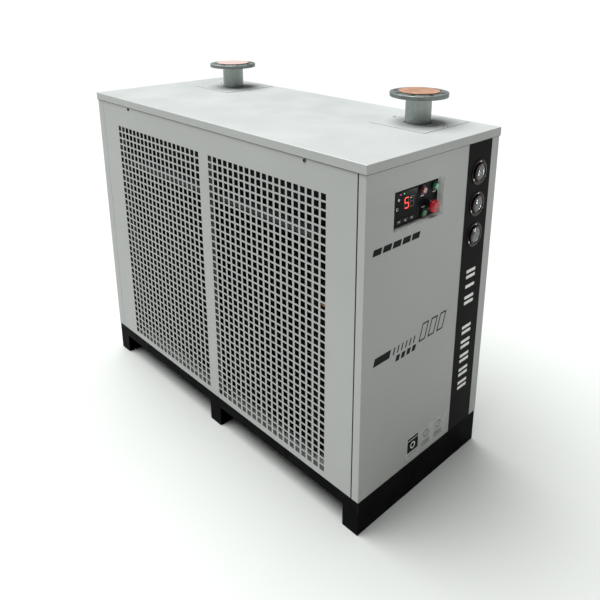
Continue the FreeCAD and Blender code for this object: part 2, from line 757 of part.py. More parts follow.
def air_pipe(x, end_x):
    """A riser through the lid, turned by an elbow into the heat exchanger's side."""
    top = (x, PIPE_Y, FLANGE_LOW + FLANGE_THICKNESS - PIPE_SETBACK)
    corner = (x, PIPE_Y, PIPE_RUN_Z)
    inner = PIPE_RADIUS - PIPE_WALL
    return pipe([top, corner, (end_x, PIPE_Y, PIPE_RUN_Z)], PIPE_RADIUS, PIPE_ELBOW, inner)


def flange(x):
    """A slip-on flange with a raised face, eight bolt holes and its weld underneath."""
    top = FLANGE_LOW + FLANGE_THICKNESS
    plate = rod(FLANGE_RADIUS, (x, PIPE_Y, FLANGE_LOW), (x, PIPE_Y, top))
    rims = circles_at(plate, "z", top) + circles_at(plate, "z", FLANGE_LOW)
    plate = plate.makeChamfer(FLANGE_CHAMFER, rims)
    face = rod(RAISED_FACE_RADIUS, (x, PIPE_Y, top), (x, PIPE_Y, top + RAISED_FACE))
    weld_radius = FLANGE_BORE_RADIUS + CUT_OVER
    weld_foot = V(x, PIPE_Y, FLANGE_LOW - FLANGE_WELD)
    weld = Part.makeCone(weld_radius, weld_radius + FLANGE_WELD, FLANGE_WELD, weld_foot, Z_AXIS)
    body = fuse([plate, face, weld])
    bore_ends = (FLANGE_LOW - FLANGE_WELD - CUT_OVER, top + RAISED_FACE + CUT_OVER)
    body = body.cut(rod(FLANGE_BORE_RADIUS, (x, PIPE_Y, bore_ends[0]), (x, PIPE_Y, bore_ends[1])))
    for bolt in range(FLANGE_BOLTS):
        turn = 2 * math.pi * (bolt + 0.5) / FLANGE_BOLTS
        hole_x = x + FLANGE_BOLT_CIRCLE * math.cos(turn)
        hole_y = PIPE_Y + FLANGE_BOLT_CIRCLE * math.sin(turn)
        low_end = (hole_x, hole_y, FLANGE_LOW - CUT_OVER)
        high_end = (hole_x, hole_y, top + CUT_OVER)
        body = body.cut(rod(FLANGE_HOLE_RADIUS, low_end, high_end))
    return body


def protective_disc(x):
    low = FLANGE_LOW + FLANGE_THICKNESS + RAISED_FACE
    return rod(DISC_RADIUS, (x, PIPE_Y, low), (x, PIPE_Y, low + DISC_THICKNESS))


# ---------------------------------------------------------------- gauges

def gauge_case(z):
    """A front-flanged case: cup, panel flange, stepped bezel and the lip over the glass."""
    def ring(outer, inner, x0, x1):
        return tube(outer, inner, (x0, GAUGE_Y, z), (x1, GAUGE_Y, z))

    floor_x = GAUGE_BACK + GAUGE_BACK_SHEET
    back = rod(GAUGE_BODY_RADIUS, (GAUGE_BACK, GAUGE_Y, z), (floor_x, GAUGE_Y, z))
    cup = ring(GAUGE_BODY_RADIUS, GAUGE_BODY_INNER, floor_x, GAUGE_FRONT)
    flange_ring = ring(GAUGE_FLANGE_RADIUS, GAUGE_BODY_INNER, STRIP_FACE, STRIP_FACE + GAUGE_FLANGE)
    bezel = ring(GAUGE_BEZEL_RADIUS, GAUGE_BODY_INNER, STRIP_FACE + GAUGE_FLANGE, GAUGE_FRONT)
    lip = ring(GAUGE_BODY_INNER, GAUGE_LIP_RADIUS, GAUGE_FRONT - GAUGE_LIP, GAUGE_FRONT)
    stub = rod(GAUGE_STUB_RADIUS, (GAUGE_BACK - GAUGE_STUB, GAUGE_Y, z), (GAUGE_BACK, GAUGE_Y, z))
    body = fuse([back, cup, flange_ring, bezel, lip, stub])
    front_edges = circles_at(body, "x", GAUGE_FRONT)
    rim = [edge for edge in front_edges if edge.Curve.Radius > GAUGE_BODY_RADIUS]
    return body.makeFillet(BEZEL_FILLET, rim)


def gauge_dial(z):
    bore = SPINDLE_RADIUS + 2 * RUNNING_CLEARANCE
    return tube(GAUGE_BODY_INNER, bore, (DIAL_X, GAUGE_Y, z), (DIAL_X + DIAL_SHEET, GAUGE_Y, z))


def gauge_lens(z):
    front = GAUGE_FRONT - GAUGE_LIP
    return rod(GAUGE_BODY_INNER, (front - GAUGE_LENS, GAUGE_Y, z), (front, GAUGE_Y, z))


def gauge_pointer(z, rest_deg):
    """A tapered pointer with a tail, a hub and the spindle that goes through the dial."""
    wide, narrow = POINTER_HALF_WIDTHS
    tail, tip = -POINTER_TAIL, POINTER_LENGTH
    outline = [(tail, -wide), (tip, -narrow), (tip, narrow), (tail, wide), (tail, -wide)]
    plan = Part.Face(Part.makePolygon([V(POINTER_X, a, b) for a, b in outline]))
    blade = plan.extrude(V(POINTER_SHEET, 0, 0))
    hub = rod(POINTER_HUB_RADIUS, (POINTER_X + POINTER_HUB[0], 0, 0), (POINTER_X + POINTER_HUB[1], 0, 0))
    spindle = rod(SPINDLE_RADIUS, (DIAL_X - SPINDLE_TAIL, 0, 0), (POINTER_X, 0, 0))
    pointer = fuse([blade, hub, spindle])
    pointer.rotate(V(0, 0, 0), X_AXIS, GAUGE_ZERO_DEG - rest_deg)
    pointer.translate(V(0, GAUGE_Y, z))
    return pointer


def gauge_strip():
    strip = box(CAB_X, STRIP_FACE, STRIP_Y0, STRIP_Y1, PANEL_BOTTOM, SEAM - 1)
    for z in GAUGE_Z.values():
        strip = strip.cut(gauge_hole(z))
    return strip


# ---------------------------------------------------------------- control window

def control_tray():
    """A shallow tray behind the window, welded up from a back plate and four flanged walls."""
    rear = TRAY_FACE - SHEET
    front = CAB_X - SHEET
    wall = TRAY_WALL
    reach = wall + TRAY_RIM
    wall_y = (WINDOW_Y0 - wall, WINDOW_Y1 + wall)
    wall_z = (WINDOW_Z0 - wall, WINDOW_Z1 + wall)
    rim_y = (WINDOW_Y0 - reach, WINDOW_Y1 + reach)
    rim_z = (WINDOW_Z0 - reach, WINDOW_Z1 + reach)
    edge = CONTROLLER_EDGE
    cutout_y = (CONTROLLER_Y0 + edge, CONTROLLER_Y1 - edge)
    cutout_z = (CONTROLLER_Z0 + edge, CONTROLLER_Z1 - edge)
    plate = box(rear, TRAY_FACE, *wall_y, *wall_z)
    plate = plate.cut(box(rear - CUT_OVER, TRAY_FACE + CUT_OVER, *cutout_y, *cutout_z))
    for y, z in (FAULT_LAMP, RUN_LAMP, START_BUTTON, EMERGENCY_STOP):
        plate = plate.cut(rod(SWITCH_HOLE_RADIUS, (rear - CUT_OVER, y, z), (TRAY_FACE + CUT_OVER, y, z)))
    walls = []
    for inner, outer, tip in ((WINDOW_Z0, wall_z[0], rim_z[0]), (WINDOW_Z1, wall_z[1], rim_z[1])):
        web = box(TRAY_FACE, front, *wall_y, *sorted((inner, outer)))
        flange_strip = box(front - wall, front, *rim_y, *sorted((outer, tip)))
        walls.append(fuse([web, flange_strip]))
    for inner, outer, tip in ((WINDOW_Y0, wall_y[0], rim_y[0]), (WINDOW_Y1, wall_y[1], rim_y[1])):
        web = box(TRAY_FACE, front, *sorted((inner, outer)), WINDOW_Z0, WINDOW_Z1)
        flange_strip = box(front - wall, front, *sorted((outer, tip)), *wall_z)
        walls.append(fuse([web, flange_strip]))
    return [plate] + walls


def controller_case():
    """The electronic controller: bezel, body through the tray, window pocket and key pockets."""
    bezel = box(TRAY_FACE, CONTROLLER_FACE, CONTROLLER_Y0, CONTROLLER_Y1, CONTROLLER_Z0, CONTROLLER_Z1)
    bezel = rounded(bezel, CONTROLLER_CORNER, X_AXIS)
    edge = CONTROLLER_EDGE + CONTROLLER_CLEARANCE
    body_y = (CONTROLLER_Y0 + edge, CONTROLLER_Y1 - edge)
    body_z = (CONTROLLER_Z0 + edge, CONTROLLER_Z1 - edge)
    case = fuse([bezel, box(CONTROLLER_BACK, TRAY_FACE, *body_y, *body_z)])
    case = case.cut(controller_pane())
    for y in KEY_Y.values():
        half_y = KEY_WIDTH / 2 + KEY_CLEARANCE
        half_z = KEY_HEIGHT / 2 + KEY_CLEARANCE
        pocket_z = (KEY_Z - half_z, KEY_Z + half_z)
        case = case.cut(box(TRAY_FACE, CONTROLLER_FACE + CUT_OVER, y - half_y, y + half_y, *pocket_z))
    return case


def controller_pane():
    ys = (CONTROLLER_Y0 + PANE_MARGIN, CONTROLLER_Y1 - PANE_MARGIN)
    zs = (KEY_Z + KEY_HEIGHT, CONTROLLER_Z1 - PANE_MARGIN)
    return box(CONTROLLER_FACE - PANE_SHEET, CONTROLLER_FACE, *ys, *zs)


def key(y):
    half_y, half_z = KEY_WIDTH / 2, KEY_HEIGHT / 2
    cap = box(KEY_LOW, KEY_FRONT, y - half_y, y + half_y, KEY_Z - half_z, KEY_Z + half_z)
    return rounded(cap, KEY_CORNER, X_AXIS)


def switch_collar(place, height):
    """The ring on the front of the tray and the barrel that goes back through it."""
    y, z = place
    ring = tube(COLLAR_RADIUS, BUTTON_BORE, (TRAY_FACE, y, z), (TRAY_FACE + height, y, z))
    barrel = tube(BARREL_RADIUS, BARREL_BORE, (TRAY_FACE - BARREL_LENGTH, y, z), (TRAY_FACE, y, z))
    floor_ends = ((TRAY_FACE, y, z), (TRAY_FACE + COLLAR_FLOOR, y, z))
    floor = tube(COLLAR_RADIUS - COLLAR_FILLET, BARREL_BORE, *floor_ends)
    collar = fuse([ring, barrel, floor])
    front_edges = circles_at(collar, "x", TRAY_FACE + height)
    rim = [edge for edge in front_edges if edge.Curve.Radius > BUTTON_BORE + COLLAR_FILLET]
    return collar.makeFillet(COLLAR_FILLET, rim)


def lamp(place):
    """A ribbed lens cap on a lamp body inside the collar."""
    y, z = place
    lens_low = TRAY_FACE + COLLAR_FLOOR
    lens = rod(BUTTON_BORE, (lens_low, y, z), (LENS_FRONT, y, z))
    lens = lens.makeFillet(LENS_DOME, circles_at(lens, "x", LENS_FRONT))
    stem = rod(BARREL_BORE, (LAMP_BACK, y, z), (lens_low, y, z))
    return fuse([lens, stem])


def start_button():
    y, z = START_BUTTON
    cap = rod(BUTTON_BORE - BUTTON_CLEARANCE, (BUTTON_LOW, y, z), (BUTTON_FRONT, y, z))
    cap = cap.makeFillet(BUTTON_FILLET, circles_at(cap, "x", BUTTON_FRONT))
    stem = rod(BUTTON_STEM_RADIUS, (BUTTON_BACK, y, z), (BUTTON_LOW, y, z))
    return fuse([cap, stem])


def emergency_stop_plunger():
    y, z = EMERGENCY_STOP
    return rod(PLUNGER_RADIUS, (PLUNGER_BACK, y, z), (PLUNGER_FRONT, y, z))


def emergency_stop_head():
    """A mushroom head on a flared neck, with a blind bore for the plunger."""
    y, z = EMERGENCY_STOP
    cap = rod(HEAD_RADIUS, (HEAD_FRONT - HEAD_THICKNESS, y, z), (HEAD_FRONT, y, z))
    cap = cap.makeFillet(HEAD_DOME, circles_at(cap, "x", HEAD_FRONT))
    neck_length = HEAD_FRONT - HEAD_THICKNESS - HEAD_LOW
    neck = Part.makeCone(NECK_RADIUS, HEAD_RADIUS - 2, neck_length, V(HEAD_LOW, y, z), X_AXIS)
    bore_end = PLUNGER_FRONT + CUT_OVER
    bore = rod(PLUNGER_RADIUS + RUNNING_CLEARANCE, (HEAD_LOW - CUT_OVER, y, z), (bore_end, y, z))
    return fuse([cap, neck]).cut(bore)


def electrical_box():
    front = CAB_X - SHEET
    outer = box(BOX_BACK, front, BOX_Y0, BOX_Y1, BOX_Z0, BOX_Z1)
    inner = (BOX_Y0 + SHEET, BOX_Y1 - SHEET, BOX_Z0 + SHEET, BOX_Z1 - SHEET)
    return outer.cut(box(BOX_BACK + SHEET, front, *inner))


def contactor():
    """A mounting rail with the compressor's contactor, its overload relay and the terminals."""
    x0 = BOX_BACK + SHEET
    x1 = x0 + MOUNT_RAIL
    rail = box(x0, x1, BOX_Y0 + TRAY_RIM, BOX_Y1 - TRAY_RIM, *MOUNT_RAIL_Z)
    relay = rounded(box(x1, x1 + RELAY_DEPTH, *RELAY_Y, *RELAY_Z), RELAY_CORNER, X_AXIS)
    overload = rounded(box(x1, x1 + OVERLOAD_DEPTH, *OVERLOAD_Y, *OVERLOAD_Z), RELAY_CORNER, X_AXIS)
    terminals = []
    for index in range(TERMINALS):
        y = TERMINAL_Y + TERMINAL_PITCH * index
        terminals.append(box(x1, x1 + TERMINAL_DEPTH, y, y + TERMINAL_WIDTH, *TERMINAL_Z))
    return [rail, relay, overload] + terminals


# ---------------------------------------------------------------- condenser and fans

def condenser_coil():
    """The fin block in its frame, with the tube bends outside one end plate."""
    frame = box(COIL_X0, COIL_X1, COIL_Y0, COIL_Y1, COIL_Z0, COIL_Z1)
    inner = (COIL_X0 + COIL_FRAME, COIL_X1 - COIL_FRAME)
    inner_z = (COIL_Z0 + COIL_FRAME, COIL_Z1 - COIL_FRAME)
    frame = frame.cut(box(*inner, COIL_Y0, COIL_Y1, *inner_z))
    fins = box(*inner, COIL_Y0 + FIN_SETBACK, COIL_Y1, *inner_z)
    bends = []
    reach = TUBE_BEND_RADIUS + 2 * TUBE_RADIUS
    for index in range(TUBE_BENDS):
        z = COIL_Z0 + TUBE_BEND_PITCH * (index + 1)
        for y in (COIL_Y0 + TUBE_INSET, COIL_Y1 - TUBE_INSET):
            ring = Part.makeTorus(TUBE_BEND_RADIUS, TUBE_RADIUS, V(COIL_X0, y, z), Y_AXIS)
            outside = box(COIL_X0 - reach, COIL_X0, y - reach, y + reach, z - reach, z + reach)
            bends.append(ring.common(outside))
    return [fuse([frame] + bends), fins]


def fan_shroud():
    """A bulkhead round the coil and a plenum behind it, with one round orifice for each fan."""
    front = COIL_Y1
    back = SHROUD_PLATE_Y + SHROUD_SHEET
    sheet = SHROUD_SHEET
    bulkhead = box(-BULKHEAD_X, BULKHEAD_X, front, front + sheet, FLOOR, TOP_RAIL_LOW)
    for x, z in BULKHEAD_LINE_HOLES:
        hole_ends = ((x, front - CUT_OVER, z), (x, front + sheet + CUT_OVER, z))
        bulkhead = bulkhead.cut(rod(BULKHEAD_HOLE_RADIUS, *hole_ends))
    outer = fuse([bulkhead, box(COIL_X0, COIL_X1, front, back, COIL_Z0, COIL_Z1)])
    plenum = (COIL_X0 + sheet, COIL_X1 - sheet, front, SHROUD_PLATE_Y, COIL_Z0 + sheet, COIL_Z1 - sheet)
    shroud = outer.cut(box(*plenum))
    for x in FAN_X.values():
        shroud = shroud.cut(rod(SHROUD_RING_RADIUS, (x, front, FAN_Z), (x, back + CUT_OVER, FAN_Z)))
        ring_ends = ((x, back, FAN_Z), (x, back + RING_DEPTH, FAN_Z))
        ring = tube(SHROUD_RING_RADIUS + RING_SHEET, SHROUD_RING_RADIUS, *ring_ends)
        shroud = fuse([shroud, ring])
    return shroud


def fan_motor(x):
    """An external motor on four arms that reach out to the shroud plate."""
    body = rod(MOTOR_RADIUS, (x, MOTOR_Y0, FAN_Z), (x, MOTOR_Y1, FAN_Z))
    body = body.makeFillet(MOTOR_DOME, circles_at(body, "y", MOTOR_Y1))
    shaft = rod(SHAFT_RADIUS, (x, FAN_Y - SHAFT_END, FAN_Z), (x, MOTOR_Y0, FAN_Z))
    plate_back = SHROUD_PLATE_Y + SHROUD_SHEET
    root = MOTOR_RADIUS - ARM_SHEET
    reach = SHROUD_RING_RADIUS + ARM_MARGIN
    arm_y = MOTOR_Y0 + ARM_SHEET
    width = (-ARM_HALF_WIDTH, ARM_HALF_WIDTH)
    arms = []
    for quarter in range(4):
        arm = box(root, reach, MOTOR_Y0, arm_y, *width)
        leg = box(reach - ARM_SHEET, reach, plate_back, arm_y, *width)
        bracket = fuse([arm, leg])
        bracket.rotate(V(0, 0, 0), Y_AXIS, 45 + 90 * quarter)
        bracket.translate(V(x, 0, FAN_Z))
        arms.append(bracket)
    return fuse([body, shaft] + arms)


def fan(x):
    """A hub and pitched blades that widen towards the tip."""
    half = FAN_HUB_HALF
    hub = rod(FAN_HUB_RADIUS, (0, -half, 0), (0, half, 0))
    hub = hub.makeFillet(FAN_HUB_FILLET, circles_at(hub, "y", -half))
    root_x = FAN_HUB_RADIUS - 2 * FAN_HUB_FILLET
    root, tip = BLADE_ROOT_WIDTH / 2, BLADE_TIP_WIDTH / 2
    outline = [(root_x, -root), (FAN_RADIUS, -tip), (FAN_RADIUS, tip), (root_x, root), (root_x, -root)]
    plan = Part.Face(Part.makePolygon([V(a, -BLADE_SHEET / 2, b) for a, b in outline]))
    blade = plan.extrude(V(0, BLADE_SHEET, 0))
    blade = rounded(blade, BLADE_CORNER, Y_AXIS, lambda middle: middle.x > FAN_RADIUS - 1)
    blade.rotate(V(0, 0, 0), X_AXIS, FAN_PITCH_DEG)
    blades = []
    for index in range(FAN_BLADES):
        turned = blade.copy()
        turned.rotate(V(0, 0, 0), Y_AXIS, 360 / FAN_BLADES * index)
        blades.append(turned)
    wheel = fuse([hub] + blades)
    bore_radius = SHAFT_RADIUS + RUNNING_CLEARANCE
    wheel = wheel.cut(rod(bore_radius, (0, -FAN_SOCKET, 0), (0, half + CUT_OVER, 0)))
    wheel.translate(V(x, FAN_Y, FAN_Z))
    return wheel


# ---------------------------------------------------------------- air treatment

def heat_exchanger():
    """The foamed block that holds the air-to-air exchanger and the evaporator, on two feet."""
    feet_top = FLOOR + EXCHANGER_FOOT
    block = box(EXCHANGER_X0, EXCHANGER_X1, EXCHANGER_Y0, EXCHANGER_Y1, feet_top, EXCHANGER_TOP)
    block = rounded(block, EXCHANGER_CORNER, Z_AXIS)
    width, inset = EXCHANGER_FOOT_WIDTH, EXCHANGER_FOOT_INSET
    ys = (EXCHANGER_Y0 + EXCHANGER_FOOT_MARGIN, EXCHANGER_Y1 - EXCHANGER_FOOT_MARGIN)
    feet = []
    for x in (EXCHANGER_X0 + inset, EXCHANGER_X1 - inset - width):
        feet.append(box(x, x + width, *ys, FLOOR, feet_top))
    return fuse([block] + feet)


def moisture_separator():
    """A pressure vessel on three legs, with its side nozzle and the drain pipe from its bottom."""
    x, y = SEPARATOR_X, DRAIN_Y
    vessel = domed(SEPARATOR_RADIUS, SEPARATOR_LOW, SEPARATOR_TOP, x, y, SEPARATOR_DOME)
    nozzle_ends = ((x, y, SEPARATOR_INLET_Z), (EXCHANGER_X0, y, SEPARATOR_INLET_Z))
    nozzle = rod(SEPARATOR_NOZZLE_RADIUS, *nozzle_ends)
    circle = SEPARATOR_RADIUS - LEG_INSET
    legs = []
    for index in range(SEPARATOR_LEGS):
        turn = 2 * math.pi * index / SEPARATOR_LEGS
        leg_x, leg_y = x + circle * math.cos(turn), y + circle * math.sin(turn)
        legs.append(rod(LEG_RADIUS, (leg_x, leg_y, FLOOR), (leg_x, leg_y, SEPARATOR_LOW + LEG_LAP)))
    block_x = DRAIN_BLOCK_X + BLOCK_HALF[0]
    route = [(x, y, SEPARATOR_LOW + DRAIN_LINE_BEND), (x, y, DRAIN_Z), (block_x, y, DRAIN_Z)]
    return fuse([vessel, nozzle, pipe(route, DRAIN_LINE_RADIUS, DRAIN_LINE_BEND)] + legs)


def automatic_drain():
    """A brass valve block with a solenoid coil and its timer on top."""
    x, y, z = DRAIN_BLOCK_X, DRAIN_Y, DRAIN_Z
    half_x, half_y, half_z = BLOCK_HALF
    block = box(x - half_x, x + half_x, y - half_y, y + half_y, z - half_z, z + half_z)
    coil_low, coil_high = z + SOLENOID_Z[0], z + SOLENOID_Z[1]
    stem = rod(DRAIN_LINE_RADIUS, (x, y, z + half_z), (x, y, coil_low))
    coil_x, coil_y = SOLENOID_HALF
    coil = box(x - coil_x, x + coil_x, y - coil_y, y + coil_y, coil_low, coil_high)
    timer_y = (y + coil_y, y + coil_y + TIMER_DEPTH)
    timer = box(x - TIMER_HALF, x + TIMER_HALF, *timer_y, z + TIMER_Z[0], z + TIMER_Z[1])
    link = rod(DRAIN_LINE_RADIUS, (VALVE_X + VALVE_NUTS[1], y, z), (x - half_x, y, z))
    corner = DRAIN_CORNER
    bodies = [rounded(block, corner, X_AXIS), rounded(coil, corner, Z_AXIS), rounded(timer, corner, Y_AXIS)]
    return fuse(bodies + [stem, link])


def drain_valve():
    """A ball valve and the drain stub that comes out through the rear panel."""
    x, y, z = VALVE_X, DRAIN_Y, DRAIN_Z
    near, far = VALVE_NUTS
    body = rod(VALVE_BODY_RADIUS, (x - far + STEEL, y, z), (x + far - STEEL, y, z))
    nuts = [hexagon(VALVE_NUT_RADIUS, (x + side * far, y, z), (x + side * near, y, z)) for side in (-1, 1)]
    neck = rod(DRAIN_LINE_RADIUS, (x, y, z), (x, y, z + VALVE_NECK))
    stub = rod(DRAIN_PIPE_RADIUS, (-DRAIN_PIPE_END, y, z), (x - far, y, z))
    lock_nut = hexagon(VALVE_NUT_RADIUS, (-CAB_X - LOCK_NUT, y, z), (-CAB_X, y, z))
    valve = fuse([body, neck, stub, lock_nut] + nuts)
    socket_ends = ((x, y, z + LEVER_SOCKET), (x, y, z + VALVE_NECK + CUT_OVER))
    socket = rod(LEVER_STEM_RADIUS + RUNNING_CLEARANCE, *socket_ends)
    water_way = rod(WATER_WAY_RADIUS, (-DRAIN_PIPE_END - CUT_OVER, y, z), (x - far, y, z))
    return valve.cut(socket).cut(water_way)


def drain_lever():
    """A quarter-turn lever with a plastic grip and the stem that goes down into the valve."""
    x, y, low = VALVE_X, DRAIN_Y, DRAIN_Z + LEVER_LOW
    stem_low = DRAIN_Z + LEVER_SOCKET + CUT_OVER
    high = low + LEVER_SHEET
    stem = rod(LEVER_STEM_RADIUS, (x, y, stem_low), (x, y, high + GRIP_WALL))
    half = LEVER_HALF_WIDTH
    blade = rounded(box(x - LEVER_TIP, x + half, y - half, y + half, low, high), LEVER_CORNER, Z_AXIS)
    grip_x = (x - LEVER_TIP + CUT_OVER, x - LEVER_TIP + CUT_OVER + GRIP_LENGTH)
    grip_y = (y - half - CUT_OVER, y + half + CUT_OVER)
    grip = rounded(box(*grip_x, *grip_y, low - GRIP_WALL, high + GRIP_WALL), GRIP_CORNER, X_AXIS)
    return fuse([stem, blade, grip])


# ---------------------------------------------------------------- refrigerant circuit

def foot_places():
    places = []
    for sign_x in (-1, 1):
        for sign_y in (-1, 1):
            places.append((COMPRESSOR_X + sign_x * FOOT_OFFSET, COMPRESSOR_Y + sign_y * FOOT_OFFSET))
    return places


def compressor():
    """A hermetic shell on a foot plate, with its terminal box and two pipe stubs."""
    x, y = COMPRESSOR_X, COMPRESSOR_Y
    radius = COMPRESSOR_RADIUS
    shell = domed(radius, COMPRESSOR_LOW, COMPRESSOR_TOP, x, y, COMPRESSOR_DOME)
    half = FOOT_OFFSET + FOOT_PLATE_MARGIN
    plate = box(x - half, x + half, y - half, y + half, *FOOT_PLATE_Z)
    plate = rounded(plate, FOOT_PLATE_MARGIN, Z_AXIS)
    for foot_x, foot_y in foot_places():
        plate = plate.cut(rod(FOOT_HOLE_RADIUS, (foot_x, foot_y, FLOOR), (foot_x, foot_y, COMPRESSOR_LOW)))
    saddle = rod(SADDLE_RADIUS, (x, y, FOOT_PLATE_Z[0]), (x, y, COMPRESSOR_LOW + SADDLE_HEIGHT))
    box_y = (y - radius - TERMINAL_BOX_Y[0], y - radius + TERMINAL_BOX_Y[1])
    terminal_box = box(x - TERMINAL_BOX_HALF, x + TERMINAL_BOX_HALF, *box_y, *TERMINAL_BOX_Z)
    seam = rod(radius + SHELL_SEAM, (x, y, SHELL_SEAM_Z[0]), (x, y, SHELL_SEAM_Z[1]))
    suction_ends = ((x - radius - SUCTION_STUB_END, y, SUCTION_Z), (x - SUCTION_STUB_ROOT, y, SUCTION_Z))
    suction_stub = rod(SUCTION_STUB_RADIUS, *suction_ends)
    stub_x = x + DISCHARGE_OFFSET
    stub_low = COMPRESSOR_TOP - COMPRESSOR_DOME
    stub_high = COMPRESSOR_TOP + DISCHARGE_STUB_END
    discharge_stub = rod(DISCHARGE_STUB_RADIUS, (stub_x, y, stub_low), (stub_x, y, stub_high))
    return fuse([shell, plate, saddle, terminal_box, seam, suction_stub, discharge_stub])


def compressor_grommets():
    """Four rubber mounts, each a foot under the plate and a neck up through its hole."""
    plate_low = FOOT_PLATE_Z[0]
    grommets = []
    for x, y in foot_places():
        foot = rod(GROMMET_RADIUS, (x, y, FLOOR), (x, y, plate_low))
        foot = foot.makeFillet(GROMMET_FILLET, circles_at(foot, "z", FLOOR))
        neck = rod(GROMMET_NECK_RADIUS, (x, y, plate_low), (x, y, plate_low + GROMMET_NECK))
        grommets.append(fuse([foot, neck]))
    return grommets


def liquid_receiver():
    """An upright vessel on a skirt, filled at the side and emptied from the top."""
    x, y = RECEIVER_X, RECEIVER_Y
    low, high = RECEIVER_Z
    vessel = domed(RECEIVER_RADIUS, low, high, x, y, RECEIVER_DOME)
    skirt = tube(*RECEIVER_SKIRT_RADII, (x, y, FLOOR), (x, y, RECEIVER_SKIRT_TOP))
    outlet = rod(NOZZLE_RADIUS, (x, y, high - NOZZLE_RADIUS), (x, y, RECEIVER_OUTLET_Z))
    side = x + RECEIVER_RADIUS
    inlet_ends = ((side - NOZZLE_ROOT, y, LIQUID_Z), (side + NOZZLE_RADIUS, y, LIQUID_Z))
    inlet = rod(NOZZLE_RADIUS, *inlet_ends)
    return fuse([vessel, skirt, outlet, inlet])


def filter_drier():
    return domed(DRIER_RADIUS, *DRIER_Z, DRIER_X, DRIER_Y, DRIER_DOME)


def expansion_valve():
    """A brass body with its diaphragm head, beside the evaporator."""
    x, y = EXPANSION_X, EXPANSION_Y
    low, shoulder, top = EXPANSION_Z
    body = hexagon(EXPANSION_HEX_RADIUS, (x, y, low), (x, y, shoulder))
    head = rod(EXPANSION_HEAD_RADIUS, (x, y, shoulder), (x, y, top))
    head = head.makeFillet(EXPANSION_HEAD_FILLET, circles_at(head, "z", top))
    outlet = rod(DRAIN_LINE_RADIUS, (EXCHANGER_X1, y, EXPANSION_OUTLET_Z), (x, y, EXPANSION_OUTLET_Z))
    return fuse([body, head, outlet])


def suction_line():
    """From the top of the evaporator down to the side of the compressor."""
    y, high = SUCTION_LINE_TOP
    side = SUCTION_LINE_SIDE_X
    end_x = COMPRESSOR_X - COMPRESSOR_RADIUS - SUCTION_STUB_END
    route = [(EXCHANGER_X1, y, high), (side, y, high), (side, COMPRESSOR_Y, high),
             (side, COMPRESSOR_Y, SUCTION_Z), (end_x, COMPRESSOR_Y, SUCTION_Z)]
    return pipe(route, SUCTION_LINE_RADIUS, LINE_BEND)


def discharge_line():
    """From the top of the compressor to the upper port of the condenser."""
    x, y = COMPRESSOR_X + DISCHARGE_OFFSET, COMPRESSOR_Y
    side, high = DISCHARGE_SIDE_X, DISCHARGE_Z
    coil_y = (COIL_Y0 + COIL_Y1) / 2
    route = [(x, y, COMPRESSOR_TOP + DISCHARGE_STUB_END), (x, y, high), (side, y, high),
             (side, coil_y, high), (COIL_X1, coil_y, high)]
    return pipe(route, DISCHARGE_LINE_RADIUS, LINE_BEND)


def liquid_line():
    """Three runs: coil to receiver, receiver to drier, drier to expansion valve."""
    side = LIQUID_SIDE_X
    coil_y = (COIL_Y0 + COIL_Y1) / 2
    receiver_side = RECEIVER_X + RECEIVER_RADIUS + NOZZLE_RADIUS
    first_route = [(COIL_X1, coil_y, LIQUID_Z), (side, coil_y, LIQUID_Z), (side, RECEIVER_Y, LIQUID_Z),
                   (receiver_side, RECEIVER_Y, LIQUID_Z)]
    first = pipe(first_route, COIL_LINE_RADIUS, COIL_LINE_BEND)
    high = LIQUID_LINE_HIGH
    second_route = [(RECEIVER_X, RECEIVER_Y, RECEIVER_OUTLET_Z), (RECEIVER_X, RECEIVER_Y, high),
                    (DRIER_X, DRIER_Y, high), (DRIER_X, DRIER_Y, DRIER_Z[1])]
    second = pipe(second_route, LIQUID_LINE_RADIUS, LINE_BEND)
    low, aisle = LIQUID_LINE_LOW, LIQUID_AISLE_Y
    third_route = [(DRIER_X, DRIER_Y, DRIER_Z[0]), (DRIER_X, DRIER_Y, low), (DRIER_X, aisle, low),
                   (EXPANSION_X, aisle, low), (EXPANSION_X, EXPANSION_Y, low)]
    third = pipe(third_route, LIQUID_LINE_RADIUS, LINE_BEND)
    x, y = EXPANSION_X, EXPANSION_Y
    joint = rod(LIQUID_JOINT_RADIUS, (x, y, low - LIQUID_JOINT_RADIUS), (x, y, EXPANSION_Z[0]))
    return [first, second, fuse([third, joint])]


# ---------------------------------------------------------------- supply gland

def cable_gland():
    """A gland in the rear panel: hexagon, threaded barrel, lock nut and dome, bored for a cord."""
    face = -CAB_X
    y, z = GLAND_Y, GLAND_Z
    hexa = hexagon(GLAND_HEX_RADIUS, (face - GLAND_HEX, y, z), (face, y, z))
    barrel = rod(GLAND_BARREL_RADIUS, (face, y, z), (face + GLAND_BARREL, y, z))
    nut = hexagon(GLAND_HEX_RADIUS, (face + SHEET, y, z), (face + SHEET + GLAND_NUT, y, z))
    dome_end = face + GLAND_BARREL - GLAND_LENGTH
    dome = rod(GLAND_BARREL_RADIUS + CUT_OVER, (dome_end, y, z), (face - GLAND_HEX, y, z))
    dome = dome.makeFillet(GLAND_FILLET, circles_at(dome, "x", dome_end))
    body = fuse([hexa, barrel, nut, dome])
    bore_ends = ((dome_end - GLAND_BARREL, y, z), (face + 2 * GLAND_BARREL, y, z))
    return body.cut(rod(GLAND_BORE_RADIUS, *bore_ends))


